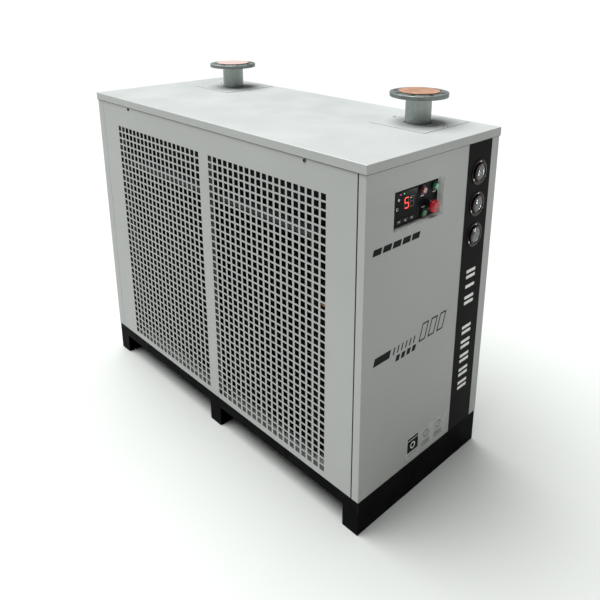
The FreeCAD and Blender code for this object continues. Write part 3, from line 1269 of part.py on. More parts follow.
def main():
    os.makedirs("parts", exist_ok=True)

    write("base_frame", *base_frame())
    write("base_skids",
          skid(-BASE_X, 1, True),
          skid(-SKID_WIDTH / 2, 1, False),
          skid(BASE_X, -1, True))
    write("floor_pan", floor_pan())
    write("cabinet_frame", *cabinet_frame())
    write("grille_side_panel", side_panel(-1))
    write("back_side_panel", side_panel(1))
    write("control_end_panel", *control_end_panel())
    write("rear_end_panel", rear_end_panel())
    write("lid", lid())
    write("inlet_cover_plate", cover_plate(INLET_X))
    write("outlet_cover_plate", cover_plate(OUTLET_X))
    write("panel_screws", *panel_screws())

    write("inlet_pipe", air_pipe(INLET_X, EXCHANGER_X1))
    write("outlet_pipe", air_pipe(OUTLET_X, EXCHANGER_X0))
    write("inlet_flange", flange(INLET_X))
    write("outlet_flange", flange(OUTLET_X))
    write("inlet_disc", protective_disc(INLET_X))
    write("outlet_disc", protective_disc(OUTLET_X))

    write("gauge_strip", gauge_strip())
    for name, z in GAUGE_Z.items():
        write(name + "_case", gauge_case(z))
        write(name + "_pointer", gauge_pointer(z, GAUGE_REST_DEG[name]))
    write("gauge_dials", *[gauge_dial(z) for z in GAUGE_Z.values()])
    write("gauge_lenses", *[gauge_lens(z) for z in GAUGE_Z.values()])

    write("control_tray", *control_tray())
    write("controller_case", controller_case())
    write("controller_window", controller_pane())
    for name, y in KEY_Y.items():
        write(name, key(y))
    write("switch_collars",
          switch_collar(FAULT_LAMP, LAMP_COLLAR),
          switch_collar(RUN_LAMP, LAMP_COLLAR),
          switch_collar(START_BUTTON, BUTTON_COLLAR),
          switch_collar(EMERGENCY_STOP, STOP_COLLAR))
    write("fault_lamp", lamp(FAULT_LAMP))
    write("run_lamp", lamp(RUN_LAMP))
    write("start_button", start_button())
    write("emergency_stop_plunger", emergency_stop_plunger())
    write("emergency_stop_head", emergency_stop_head())
    write("electrical_box", electrical_box())
    write("contactor", *contactor())

    write("condenser_coil", *condenser_coil())
    write("fan_shroud", fan_shroud())
    write("fan_motors", *[fan_motor(x) for x in FAN_X.values()])
    for name, x in FAN_X.items():
        write(name, fan(x))

    write("heat_exchanger", heat_exchanger())
    write("moisture_separator", moisture_separator())
    write("automatic_drain", automatic_drain())
    write("drain_valve", drain_valve())
    write("drain_lever", drain_lever())
    write("compressor", compressor())
    write("compressor_grommets", *compressor_grommets())
    write("liquid_receiver", liquid_receiver())
    write("filter_drier", filter_drier())
    write("expansion_valve", expansion_valve())
    write("suction_line", suction_line())
    write("discharge_line", discharge_line())
    write("liquid_line", *liquid_line())
    write("cable_gland", cable_gland())


main()
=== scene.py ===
"""Looks of the refrigerated air dryer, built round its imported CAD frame. Metres, +Z up."""

import json
import math

import bmesh
import bpy
from mathutils import Matrix, Vector


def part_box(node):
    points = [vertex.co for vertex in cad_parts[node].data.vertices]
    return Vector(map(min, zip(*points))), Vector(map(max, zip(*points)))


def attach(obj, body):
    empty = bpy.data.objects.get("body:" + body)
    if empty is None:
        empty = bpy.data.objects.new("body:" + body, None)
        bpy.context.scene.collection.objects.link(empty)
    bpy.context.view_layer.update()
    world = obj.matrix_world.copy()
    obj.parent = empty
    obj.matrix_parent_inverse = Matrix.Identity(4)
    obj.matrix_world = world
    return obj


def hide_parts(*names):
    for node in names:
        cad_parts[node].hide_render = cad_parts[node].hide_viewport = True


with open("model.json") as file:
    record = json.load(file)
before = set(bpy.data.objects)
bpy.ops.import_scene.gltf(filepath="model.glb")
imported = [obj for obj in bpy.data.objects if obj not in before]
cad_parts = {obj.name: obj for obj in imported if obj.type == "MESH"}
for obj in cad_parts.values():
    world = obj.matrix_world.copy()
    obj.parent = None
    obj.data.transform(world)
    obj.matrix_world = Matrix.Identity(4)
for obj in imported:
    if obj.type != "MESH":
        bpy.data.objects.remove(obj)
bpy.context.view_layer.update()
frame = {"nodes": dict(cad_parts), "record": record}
NODES = frame["nodes"]
RECORD = frame["record"]
MM = 0.001
INK = 0.08 * MM  # how thick printing stands on a surface

# Camera, from the photograph's viewing angle
CAMERA_PLACE = (1.8324, -1.5428, 1.7032)
CAMERA_AZIMUTH = math.radians(45.753)
CAMERA_ELEVATION = math.radians(17.279)
CAMERA_ROLL = math.radians(0.227)
CAMERA_LENS = 38.16
CAMERA_SHIFT = (-0.0311, -0.2037)

# Light
SUN_STRENGTH = 8.1
SUN_TILT = math.radians(19)
SUN_TOWARDS = math.radians(-160)
SUN_SOFTNESS = math.radians(60)
WORLD_STRENGTH = 0.13
WINDOW_LIGHT = 2.0
WINDOW_SIZE = (0.20, 0.32)
WINDOW_DIRECTION = (0.646, 0.725, -0.238)
WINDOW_DISTANCE = 2.6

# Places read from the frame
LID_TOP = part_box("lid")[1].z
FLANGE_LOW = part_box("inlet_flange")[0].z
STRIP_LOW, STRIP_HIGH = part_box("gauge_strip")
GAUGES = ("suction_gauge", "discharge_gauge", "air_gauge")
DIAL_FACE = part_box("gauge_dials")[1].x
COIL_LOW, COIL_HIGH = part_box("condenser_coil")
COIL_FRAME = 15 * MM
COIL_BENDS = 17.3 * MM
COIL_FIN_LOW_X = COIL_LOW.x + COIL_BENDS + COIL_FRAME
PANEL_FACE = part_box("control_end_panel")[1].x
FLOOR_SIZE = 500.0


# ---------------------------------------------------------------- shader building

# Places of the colour sockets on a Mix node, whose socket names repeat for each kind of data
MIX_FIRST = 6
MIX_SECOND = 7
MIX_RESULT = 2


class Shader:
    """One procedural material: a Principled shader and short calls that add nodes before it."""

    def __init__(self, name, **inputs):
        self.material = bpy.data.materials.new(name)
        self.material.use_nodes = True
        self.tree = self.material.node_tree
        self.bsdf = self.tree.nodes["Principled BSDF"]
        self.coords = self.node("ShaderNodeTexCoord").outputs["Object"]
        self.height = None
        for key, value in inputs.items():
            self.bsdf.inputs[key.replace("_", " ")].default_value = value

    def node(self, kind, **settings):
        made = self.tree.nodes.new(kind)
        for key, value in settings.items():
            setattr(made, key, value)
        return made

    def feed(self, socket, value):
        if isinstance(value, bpy.types.NodeSocket):
            self.tree.links.new(value, socket)
        else:
            socket.default_value = value

    def place(self, stretch):
        """Object coordinates scaled by a different factor on each axis."""
        mapping = self.node("ShaderNodeMapping")
        self.feed(mapping.inputs["Vector"], self.coords)
        mapping.inputs["Scale"].default_value = stretch
        return mapping.outputs["Vector"]

    def noise(self, scale, detail=4.0, roughness=0.6, stretch=(1, 1, 1)):
        texture = self.node("ShaderNodeTexNoise")
        self.feed(texture.inputs["Vector"], self.place(stretch))
        texture.inputs["Scale"].default_value = scale
        texture.inputs["Detail"].default_value = detail
        texture.inputs["Roughness"].default_value = roughness
        return texture.outputs["Fac"]

    def cells(self, scale, output="Color"):
        texture = self.node("ShaderNodeTexVoronoi")
        self.feed(texture.inputs["Vector"], self.coords)
        texture.inputs["Scale"].default_value = scale
        return texture.outputs[output]

    def bands(self, scale, direction):
        texture = self.node("ShaderNodeTexWave", bands_direction=direction)
        self.feed(texture.inputs["Vector"], self.coords)
        texture.inputs["Scale"].default_value = scale
        return texture.outputs["Fac"]

    def axis(self, name):
        split = self.node("ShaderNodeSeparateXYZ")
        self.feed(split.inputs["Vector"], self.coords)
        return split.outputs[name]

    def range(self, value, low, high, to_low=0.0, to_high=1.0):
        """Maps low..high to to_low..to_high, held at both ends."""
        mapped = self.node("ShaderNodeMapRange")
        self.feed(mapped.inputs["Value"], value)
        mapped.inputs["From Min"].default_value = low
        mapped.inputs["From Max"].default_value = high
        mapped.inputs["To Min"].default_value = to_low
        mapped.inputs["To Max"].default_value = to_high
        return mapped.outputs["Result"]

    def math(self, operation, first, second):
        made = self.node("ShaderNodeMath", operation=operation)
        self.feed(made.inputs[0], first)
        self.feed(made.inputs[1], second)
        return made.outputs["Value"]

    def mix(self, factor, first, second):
        """Blends two colours; a colour is three numbers or another node's output."""
        made = self.node("ShaderNodeMix", data_type="RGBA")
        self.feed(made.inputs["Factor"], factor)
        for place, value in ((MIX_FIRST, first), (MIX_SECOND, second)):
            self.feed(made.inputs[place], (*value, 1.0) if isinstance(value, tuple) else value)
        return made.outputs[MIX_RESULT]

    def colour(self, value):
        self.feed(self.bsdf.inputs["Base Color"], (*value, 1.0) if isinstance(value, tuple) else value)
        return self

    def rough(self, value):
        self.feed(self.bsdf.inputs["Roughness"], value)
        return self

    def bump(self, height, distance, strength=1.0):
        """Adds a height in metres on top of any bump already there."""
        made = self.node("ShaderNodeBump")
        self.feed(made.inputs["Height"], height)
        made.inputs["Distance"].default_value = distance
        made.inputs["Strength"].default_value = strength
        if self.height:
            self.tree.links.new(self.height, made.inputs["Normal"])
        self.height = made.outputs["Normal"]
        self.tree.links.new(self.height, self.bsdf.inputs["Normal"])
        return self


def shade(colour, factor):
    return tuple(channel * factor for channel in colour)


DUST = (0.42, 0.40, 0.36)
ORANGE_PEEL = 0.06 * MM


def paint(name, colour, gloss=0.38, dust_amount=0.25, hole_shade_colour=None):
    """Powder coat: orange peel, faint cloudiness, dust that gathers low down and small specks.

    On a sheet that faces along Y, a given dark colour paints shade on the walls of its holes and on its
    edges.
    """
    s = Shader(name, Specular_IOR_Level=0.45, Coat_Weight=0.06, Coat_Roughness=0.25)
    cloud = s.noise(2.6, 3.0, 0.55)
    base = s.mix(s.range(cloud, 0.3, 0.7), shade(colour, 0.955), shade(colour, 1.03))
    low = s.range(s.axis("Z"), 0.10, 0.34, 1.0, 0.0)
    streaks = s.noise(9.0, 5.0, 0.6, (1.0, 1.0, 0.12))
    grime = s.math("MULTIPLY", low, s.range(streaks, 0.42, 0.72, 0.0, dust_amount))
    base = s.mix(grime, base, DUST)
    specks = s.range(s.cells(46.0, "Distance"), 0.012, 0.03, 0.55, 0.0)
    rare = s.range(s.noise(7.0, 2.0), 0.60, 0.66)
    base = s.mix(s.math("MULTIPLY", specks, rare), base, shade(colour, 0.35))
    # Painted shade: faces that don't face along Y, the hole walls and edges, take the dark colour.
    if hole_shade_colour:
        facing = s.node("ShaderNodeSeparateXYZ")
        s.feed(facing.inputs["Vector"], s.node("ShaderNodeNewGeometry").outputs["True Normal"])
        along_y = s.math("MULTIPLY", facing.outputs["Y"], facing.outputs["Y"])
        base = s.mix(s.math("LESS_THAN", along_y, 0.25), base, hole_shade_colour)
    s.colour(base)
    s.rough(s.range(s.noise(5.0, 6.0, 0.65), 0.3, 0.75, gloss - 0.06, gloss + 0.10))
    s.bump(s.noise(420.0, 2.0, 0.5), ORANGE_PEEL)
    s.bump(s.noise(3.2, 2.0, 0.4), 0.0012, 0.25)
    return s.material


def dark_paint(name, colour, gloss=0.42, shine=0.04):
    """Black paint on rolled steel: mill texture, worn patches and a pale film of dust on top."""
    s = Shader(name, Specular_IOR_Level=shine)
    cloud = s.range(s.noise(6.0, 6.0, 0.6), 0.35, 0.75)
    base = s.mix(cloud, shade(colour, 0.7), shade(colour, 1.7))
    scuff = s.range(s.noise(24.0, 8.0, 0.72, (1, 1, 2.5)), 0.64, 0.76, 0.0, 0.22)
    base = s.mix(scuff, base, (0.045, 0.042, 0.039))
    chips = s.range(s.cells(70.0, "Distance"), 0.05, 0.09, 0.6, 0.0)
    rare = s.range(s.noise(11.0, 3.0), 0.64, 0.68)
    base = s.mix(s.math("MULTIPLY", chips, rare), base, (0.10, 0.08, 0.07))
    s.colour(base)
    s.rough(s.range(s.noise(14.0, 6.0, 0.7), 0.3, 0.8, gloss - 0.1, gloss + 0.22))
    s.bump(s.noise(160.0, 4.0, 0.6), 0.00012)
    s.bump(s.noise(12.0, 3.0, 0.5), 0.0008, 0.3)
    return s.material


def galvanised(name, colour, flange_from, flange_share):
    """Hot-dip zinc: crystal spangle, dull stains, fine scratches, and duller above flange_from."""
    s = Shader(name, Metallic=0.75, Specular_IOR_Level=0.5)
    spangle = s.node("ShaderNodeSeparateColor")
    s.feed(spangle.inputs["Color"], s.cells(260.0))
    grain = s.range(spangle.outputs["Red"], 0.0, 1.0)
    base = s.mix(grain, shade(colour, 0.88), shade(colour, 1.10))
    stain = s.range(s.noise(16.0, 6.0, 0.7), 0.48, 0.74, 0.0, 0.34)
    base = s.mix(stain, base, shade(colour, 0.60))
    forged = s.range(s.axis("Z"), flange_from, flange_from + 1 * MM)
    mottle = s.range(s.noise(30.0, 3.0, 0.6), 0.35, 0.65)
    dull = s.mix(mottle, shade(colour, flange_share * 0.75), shade(colour, flange_share * 1.2))
    s.colour(s.mix(forged, base, dull))
    s.rough(s.range(s.noise(40.0, 5.0, 0.6), 0.3, 0.7, 0.40, 0.54))
    s.bump(grain, 0.00004, 0.4)
    s.bump(s.noise(900.0, 2.0, 0.5, (1, 1, 0.05)), 0.00004)
    return s.material


def pressed_board(name, colour, faded):
    """The tan protective discs: fibre, water stains, a lightly crushed surface; the rear one is faded."""
    s = Shader(name, Specular_IOR_Level=0.25)
    fibre = s.noise(260.0, 5.0, 0.7, (1.0, 0.18, 1.0))
    base = s.mix(s.range(fibre, 0.35, 0.7), shade(colour, 0.82), shade(colour, 1.12))
    stain = s.range(s.noise(26.0, 5.0, 0.65), 0.42, 0.66, 0.0, 0.75)
    base = s.mix(stain, base, shade(colour, 0.62))
    pale = s.range(s.noise(44.0, 4.0, 0.6), 0.52, 0.74, 0.0, 0.5)
    base = s.mix(pale, base, shade(faded, 0.85))
    rear = s.range(s.axis("X"), -0.1, 0.1, 0.8, 0.0)
    s.colour(s.mix(s.math("MULTIPLY", rear, s.range(fibre, 0.3, 0.7, 0.7, 1.0)), base, faded))
    s.rough(s.range(fibre, 0.3, 0.7, 0.58, 0.8))
    s.bump(fibre, 0.00012)
    s.bump(s.noise(20.0, 3.0), 0.0006, 0.4)
    return s.material


def plastic(name, colour, gloss, grain=0.00005, emission=None, strength=0.0, shine=0.4):
    """Moulded plastic: a fine eroded texture, faint flow clouds and dust specks."""
    s = Shader(name, Specular_IOR_Level=shine)
    cloud = s.range(s.noise(30.0, 3.0, 0.5), 0.3, 0.7)
    base = s.mix(cloud, shade(colour, 0.88), shade(colour, 1.12))
    dust = s.range(s.noise(700.0, 2.0, 0.5), 0.68, 0.78, 0.0, 0.16)
    s.colour(s.mix(dust, base, shade(colour, 3.0)))
    s.rough(s.range(s.noise(90.0, 4.0, 0.6), 0.3, 0.7, gloss - 0.04, gloss + 0.07))
    s.bump(s.noise(1800.0, 2.0, 0.5), grain)
    if emission:
        s.bsdf.inputs["Emission Color"].default_value = (*emission, 1.0)
        s.bsdf.inputs["Emission Strength"].default_value = strength
    return s.material


def lens(name, colour, emission, strength):
    """A ribbed coloured lens over a lamp: deep colour, clear coat and a diffuser's grain."""
    s = Shader(name, Specular_IOR_Level=0.6, Coat_Weight=0.6, Coat_Roughness=0.06, Subsurface_Weight=0.15)
    facet = s.cells(420.0, "Distance")
    s.colour(s.mix(s.range(facet, 0.0, 0.6), shade(colour, 1.35), shade(colour, 0.6)))
    s.rough(s.range(s.noise(200.0, 3.0), 0.3, 0.7, 0.12, 0.24))
    s.bump(facet, 0.0003, 0.6)
    s.bsdf.inputs["Emission Color"].default_value = (*emission, 1.0)
    s.bsdf.inputs["Emission Strength"].default_value = strength
    return s.material


def metal(name, colour, roughness, turned=(1.0, 1.0, 1.0), scale=300.0, stain=0.35):
    """Machined or drawn metal: fine directional marks, smudges and slight tarnish."""
    s = Shader(name, Metallic=1.0)
    marks = s.noise(scale, 4.0, 0.65, turned)
    base = s.mix(s.range(marks, 0.3, 0.7), shade(colour, 0.85), shade(colour, 1.1))
    tarnish = s.range(s.noise(18.0, 6.0, 0.7), 0.5, 0.75, 0.0, stain)
    s.colour(s.mix(tarnish, base, shade(colour, 0.35)))
    s.rough(s.range(s.noise(42.0, 5.0, 0.65), 0.3, 0.75, roughness - 0.05, roughness + 0.14))
    s.bump(marks, 0.00003)
    return s.material


def screw_paint(name, dark, pale):
    """Blackened screws; those in the lid are plated and nearly match the paint."""
    s = Shader(name, Metallic=0.8)
    marks = s.noise(300.0, 4.0, 0.65)
    on_lid = s.range(s.axis("Z"), LID_TOP - 2 * MM, LID_TOP - 1 * MM)
    base = s.mix(on_lid, dark, pale)
    s.colour(s.mix(s.range(marks, 0.55, 0.75, 0.0, 0.4), base, shade(dark, 0.5)))
    s.rough(s.range(s.noise(60.0, 5.0), 0.3, 0.7, 0.34, 0.5))
    s.bump(marks, 0.00003)
    return s.material


def clear_glass(name):
    s = Shader(name, Transmission_Weight=1.0, IOR=1.4)
    smear = s.range(s.noise(22.0, 4.0, 0.6), 0.4, 0.7)
    s.colour(s.mix(smear, (0.84, 0.87, 0.90), (0.76, 0.79, 0.82)))
    s.rough(s.range(s.noise(60.0, 4.0), 0.4, 0.8, 0.01, 0.04))
    s.bump(s.noise(30.0, 2.0), 0.00002, 0.5)
    return s.material


def fin_and_frame(name, dark, pale):
    """Dark pressed fins inside a pale bent-sheet frame, told apart by where they are."""
    s = Shader(name, Metallic=0.2, Specular_IOR_Level=0.15)
    edge = COIL_FRAME
    sides = s.math("GREATER_THAN", s.axis("X"), COIL_HIGH.x - edge)
    left = s.math("LESS_THAN", s.axis("X"), COIL_FIN_LOW_X)
    top = s.math("GREATER_THAN", s.axis("Z"), COIL_HIGH.z - edge)
    bottom = s.math("LESS_THAN", s.axis("Z"), COIL_LOW.z + edge)
    rim = s.math("MAXIMUM", s.math("MAXIMUM", sides, left), s.math("MAXIMUM", top, bottom))
    fins = s.range(s.bands(180.0, "X"), 0.2, 0.8)
    dusty = s.range(s.noise(14.0, 6.0, 0.7), 0.4, 0.75)
    # Painted shade: the fins are near black, for the dark inside of the cabinet seen through the grilles.
    body = s.mix(fins, shade(dark, 0.55), shade(dark, 1.3))
    body = s.mix(s.math("MULTIPLY", dusty, 0.2), body, (0.06, 0.057, 0.052))
    rail = s.mix(s.range(s.noise(20.0, 5.0), 0.3, 0.7), shade(pale, 0.85), shade(pale, 1.08))
    s.colour(s.mix(rim, body, rail))
    s.rough(s.range(s.noise(50.0, 5.0), 0.3, 0.7, 0.38, 0.62))
    s.bump(fins, 0.0006, 0.6)
    return s.material


def rubber(name, colour):
    s = Shader(name, Specular_IOR_Level=0.3)
    pores = s.cells(650.0, "Distance")
    cloud = s.range(s.noise(12.0, 5.0, 0.6), 0.35, 0.7)
    s.colour(s.mix(cloud, shade(colour, 0.8), shade(colour, 1.9)))
    s.rough(s.range(s.noise(40.0, 4.0), 0.3, 0.7, 0.62, 0.85))
    s.bump(pores, 0.0003, 0.6)
    s.bump(s.noise(9.0, 3.0), 0.002, 0.4)
    return s.material


BODY_GREY = (0.365, 0.369, 0.352)
SLOT_MATERIALS = {
    "body_paint": paint("body_paint", BODY_GREY),
    "base_paint": dark_paint("base_paint", (0.0035, 0.0035, 0.004), 0.46, 0.015),
    "strip_black": plastic("strip_black", (0.006, 0.0048, 0.0053), 0.34, shine=0.02),
    "screw_black": screw_paint("screw_black", (0.05, 0.05, 0.052), (0.45, 0.46, 0.46)),
    "galvanised_steel": galvanised("galvanised_steel", (0.38, 0.42, 0.395), FLANGE_LOW, 0.5),
    "disc_tan": pressed_board("disc_tan", (0.315, 0.165, 0.10), (0.44, 0.35, 0.32)),
    "gauge_case": metal("gauge_case", (0.026, 0.018, 0.018), 0.12, (1.0, 0.3, 0.3), 500.0, 0.2),
    # Painted shade: the dials are coloured dark grey, standing in for the shadow of the deep bezel over
    # them.
    "gauge_dial": plastic("gauge_dial", (0.075, 0.08, 0.088), 0.45, 0.00001, shine=0.1),
    "gauge_glass": clear_glass("gauge_glass"),
    "pointer_black": plastic("pointer_black", (0.012, 0.012, 0.012), 0.5, 0.00001),
    # Painted light: the recess round the controls gets the body paint made 2.3 times lighter, standing in
    # for light on its walls.
    "tray_paint": paint("tray_paint", shade(BODY_GREY, 2.3), 0.45, dust_amount=0.0),
    "controller_black": plastic("controller_black", (0.005, 0.005, 0.0055), 0.42, shine=0.05),
    "controller_window": plastic("controller_window", (0.003, 0.002, 0.003), 0.10, 0.000003, shine=0.05),
    "key_black": plastic("key_black", (0.022, 0.022, 0.024), 0.40, shine=0.2),
    "lamp_red": lens("lamp_red", (0.16, 0.008, 0.012), (1.0, 0.05, 0.04), 0.03),
    "lamp_green": lens("lamp_green", (0.008, 0.15, 0.06), (0.05, 1.0, 0.35), 0.05),
    "button_green": plastic("button_green", (0.006, 0.12, 0.045), 0.22, 0.00001),
    "stop_red": plastic("stop_red", (0.46, 0.012, 0.018), 0.22, 0.00001),
    "collar_black": plastic("collar_black", (0.02, 0.02, 0.021), 0.28),
    "box_grey": paint("box_grey", (0.38, 0.39, 0.38), 0.45),
    "relay_plastic": plastic("relay_plastic", (0.11, 0.115, 0.12), 0.45),
    # Near-black fins: painted shade for the cabinet's dark inside.
    "coil_fins": fin_and_frame("coil_fins", (0.005, 0.0053, 0.006), (0.08, 0.084, 0.084)),
    # Painted shade: the shroud sheet is near black so the inside of the cabinet reads dark through the
    # grilles.
    "shroud_sheet": dark_paint("shroud_sheet", (0.018, 0.018, 0.02), 0.5),
    "motor_black": dark_paint("motor_black", (0.025, 0.025, 0.026)),
    "fan_black": dark_paint("fan_black", (0.03, 0.031, 0.033), 0.48),
    "insulation": rubber("insulation", (0.02, 0.02, 0.021)),
    "vessel_paint": dark_paint("vessel_paint", (0.07, 0.075, 0.08)),
    "brass": metal("brass", (0.72, 0.52, 0.24), 0.26),
    "lever_red": paint("lever_red", (0.50, 0.02, 0.02), 0.35),
    "compressor_black": dark_paint("compressor_black", (0.012, 0.012, 0.013), 0.3),
    "rubber_black": rubber("rubber_black", (0.018, 0.018, 0.018)),
    "copper": metal("copper", (0.56, 0.27, 0.15), 0.30, (1.0, 1.0, 1.0), 200.0, 0.6),
    "gland_plastic": plastic("gland_plastic", (0.05, 0.05, 0.052), 0.4),
}
for part in RECORD["subparts"]:
    for slot in NODES[part["node"]].material_slots:
        slot.material = SLOT_MATERIALS[part["material_slot"]]

# Side panels with painted shade on their hole walls and edges.
HOLE_SHADE_PAINT = paint("body_paint_hole_shade", BODY_GREY, hole_shade_colour=(0.02, 0.02, 0.02))
for panel in ("grille_side_panel", "back_side_panel"):
    for slot in NODES[panel].material_slots:
        slot.material = HOLE_SHADE_PAINT

MARK_WHITE = plastic("mark_white", (0.80, 0.80, 0.77), 0.45, 0.00001)
MARK_BLACK = plastic("mark_black", (0.004, 0.004, 0.0055), 0.40, 0.00001, shine=0.05)
STICKER_FILM = plastic("sticker_film", shade(BODY_GREY, 1.12), 0.22, 0.00001)
SWITCH_PLATE = plastic("switch_plate_black", (0.008, 0.008, 0.009), 0.36, shine=0.05)
# Black for the strips at the lid and panel seams: painted shade standing in for the shadow in the gaps.
GAP_SHADOW_BLACK = rubber("gap_shadow_black", (0.006, 0.006, 0.006))
TUBE_DARK = metal("tube_dark", (0.045, 0.030, 0.023), 0.36, (1.0, 1.0, 1.0), 220.0, 0.7)
PLATE_SILVER = metal("plate_silver", (0.62, 0.62, 0.60), 0.32)
STEEL_SCREW = metal("steel_screw", (0.75, 0.74, 0.70), 0.22)
WELD = dark_paint("weld_paint", (0.016, 0.016, 0.018), 0.34)
DIAL_INK = plastic("dial_ink", (0.01, 0.01, 0.01), 0.5, 0.00001)
DIAL_GREEN = plastic("dial_green", (0.02, 0.30, 0.10), 0.5, 0.00001)
DIAL_RED = plastic("dial_red", (0.45, 0.02, 0.02), 0.5, 0.00001)
LED_RED = plastic("led_red", (0.5, 0.02, 0.02), 0.3, 0.00001, (1.0, 0.06, 0.03), 2.2)
LED_DIM = plastic("led_dim", (0.05, 0.006, 0.006), 0.3, 0.00001)
LED_MAGENTA = plastic("led_magenta", (0.5, 0.02, 0.3), 0.3, 0.00001, (1.0, 0.05, 0.6), 1.5)
LED_GREEN = plastic("led_green", (0.02, 0.5, 0.1), 0.3, 0.00001, (0.1, 1.0, 0.2), 1.2)
# Printed symbols with a faint painted glow, though nothing lights them.
ICON_GLOW_WHITE = plastic("icon_glow_white", (0.7, 0.7, 0.68), 0.4, 0.00001, (1.0, 0.97, 0.9), 0.35)


# ---------------------------------------------------------------- mesh building

SMOOTH_BELOW = math.radians(35)


class Piece:
    """A mesh built up from simple forms, then given a material and a body to ride on."""

    def __init__(self, name):
        self.name = name
        self.mesh = bmesh.new()

    def box(self, low, high, bevel=0.0):
        """A block between two corners, its edges rounded by bevel."""
        low, high = Vector(low), Vector(high)
        made = bmesh.ops.create_cube(self.mesh, size=1.0)
        place = Matrix.Translation((low + high) / 2) @ Matrix.Diagonal((*(high - low), 1.0))
        bmesh.ops.transform(self.mesh, verts=made["verts"], matrix=place)
        if bevel:
            edges = list({edge for vert in made["verts"] for edge in vert.link_edges})
            bmesh.ops.bevel(self.mesh, geom=edges, offset=bevel, segments=2, profile=0.6, affect="EDGES")
        return self

    def turned(self, profile, centre, axis, steps=32):
        """A solid of revolution: profile is (distance along axis, radius) pairs."""
        turn = Vector((0, 0, 1)).rotation_difference(Vector(axis)).to_matrix().to_4x4()
        place = Matrix.Translation(Vector(centre)) @ turn
        rings = []
        for along, radius in profile:
            angles = [2 * math.pi * step / steps for step in range(steps)]
            points = [Vector((radius * math.cos(a), radius * math.sin(a), along)) for a in angles]
            rings.append([self.mesh.verts.new(place @ point) for point in points])
        for lower, upper in zip(rings, rings[1:]):
            for step in range(steps):
                after = (step + 1) % steps
                self.mesh.faces.new((lower[step], lower[after], upper[after], upper[step]))
        self.mesh.faces.new(list(reversed(rings[0])))
        self.mesh.faces.new(rings[-1])
        return self

    def slab(self, outline, origin, depth):
        """A flat shape that faces +X: its outline lies along Y and Z, and it is depth thick."""
        flat = [Vector(origin) + Vector((0, along_y, along_z)) for along_y, along_z in outline]
        low = [self.mesh.verts.new(point) for point in flat]
        high = [self.mesh.verts.new(point + Vector((depth, 0, 0))) for point in flat]
        self.mesh.faces.new(list(reversed(low)))
        self.mesh.faces.new(high)
        for index in range(len(flat)):
            after = (index + 1) % len(flat)
            self.mesh.faces.new((low[index], low[after], high[after], high[index]))
        return self

    def finish(self, material, body):
        bmesh.ops.recalc_face_normals(self.mesh, faces=self.mesh.faces)
        for face in self.mesh.faces:
            face.smooth = True
        for edge in self.mesh.edges:
            edge.smooth = len(edge.link_faces) == 2 and edge.calc_face_angle() < SMOOTH_BELOW
        data = bpy.data.meshes.new(self.name)
        self.mesh.to_mesh(data)
        self.mesh.free()
        made = bpy.data.objects.new(self.name, data)
        bpy.context.scene.collection.objects.link(made)
        data.materials.append(material)
        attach(made, body)
        return made


def in_mm(pairs):
    """Pairs of millimetres, given in metres."""
    return [(first * MM, second * MM) for first, second in pairs]


def rectangle(width, height):
    """A rectangle round (0, 0)."""
    across, up = width / 2, height / 2
    return [(-across, -up), (across, -up), (across, up), (-across, up)]


def rounded_outline(width, height, radius, steps=5):
    """A rectangle round (0, 0) with rounded corners."""
    points = []
    corners = ((1, 1, 0), (-1, 1, 90), (-1, -1, 180), (1, -1, 270))
    for sign_x, sign_y, start in corners:
        centre_x = sign_x * (width / 2 - radius)
        centre_y = sign_y * (height / 2 - radius)
        for step in range(steps + 1):
            angle = math.radians(start + 90 * step / steps)
            points.append((centre_x + radius * math.cos(angle), centre_y + radius * math.sin(angle)))
    return points


def ring_part(inner, outer, start, end, steps=24):
    """Part of a flat ring between two angles in degrees."""
    angles = [math.radians(start + (end - start) * step / steps) for step in range(steps + 1)]
    outside = [(outer * math.cos(a), outer * math.sin(a)) for a in angles]
    inside = [(inner * math.cos(a), inner * math.sin(a)) for a in reversed(angles)]
    return outside + inside


def moved(outline, across, up):
    return [(a + across, b + up) for a, b in outline]


def turned_outline(outline, degrees):
    c, s = math.cos(math.radians(degrees)), math.sin(math.radians(degrees))
    return [(a * c - b * s, a * s + b * c) for a, b in outline]


# ---------------------------------------------------------------- condenser

def condenser_fins():
    """Thin pressed fins that stand in front of the coil's core, between its frame rails."""
    fins = Piece("condenser_fin_edges")
    front = COIL_LOW.y + 0.5 * MM
    core = COIL_LOW.y + 4.5 * MM
    margin = 1 * MM
    low_x, high_x = COIL_FIN_LOW_X + margin, COIL_HIGH.x - COIL_FRAME - margin
    low_z, high_z = COIL_LOW.z + COIL_FRAME, COIL_HIGH.z - COIL_FRAME
    pitch = 3.2 * MM
    thick = 0.35 * MM
    for index in range(int((high_x - low_x) / pitch)):
        x = low_x + index * pitch
        fins.box((x, front, low_z), (x + thick, core, high_z))
    fins.finish(SLOT_MATERIALS["coil_fins"], "cabinet")


def condenser_tube_rows():
    """The coil's dark copper tubes, which show as level rows behind the fins' front edges."""
    rows = Piece("condenser_tube_rows")
    low_x, high_x = COIL_FIN_LOW_X, COIL_HIGH.x - COIL_FRAME
    radius = 4.6 * MM
    y = COIL_LOW.y + 5.4 * MM
    lowest = COIL_LOW.z + 25 * MM
    pitch = 50 * MM
    for index in range(16):
        place = (low_x, y, lowest + index * pitch)
        rows.turned([(0, radius), (high_x - low_x, radius)], place, (1, 0, 0), 12)
    rows.finish(TUBE_DARK, "cabinet")


# ---------------------------------------------------------------- gauges

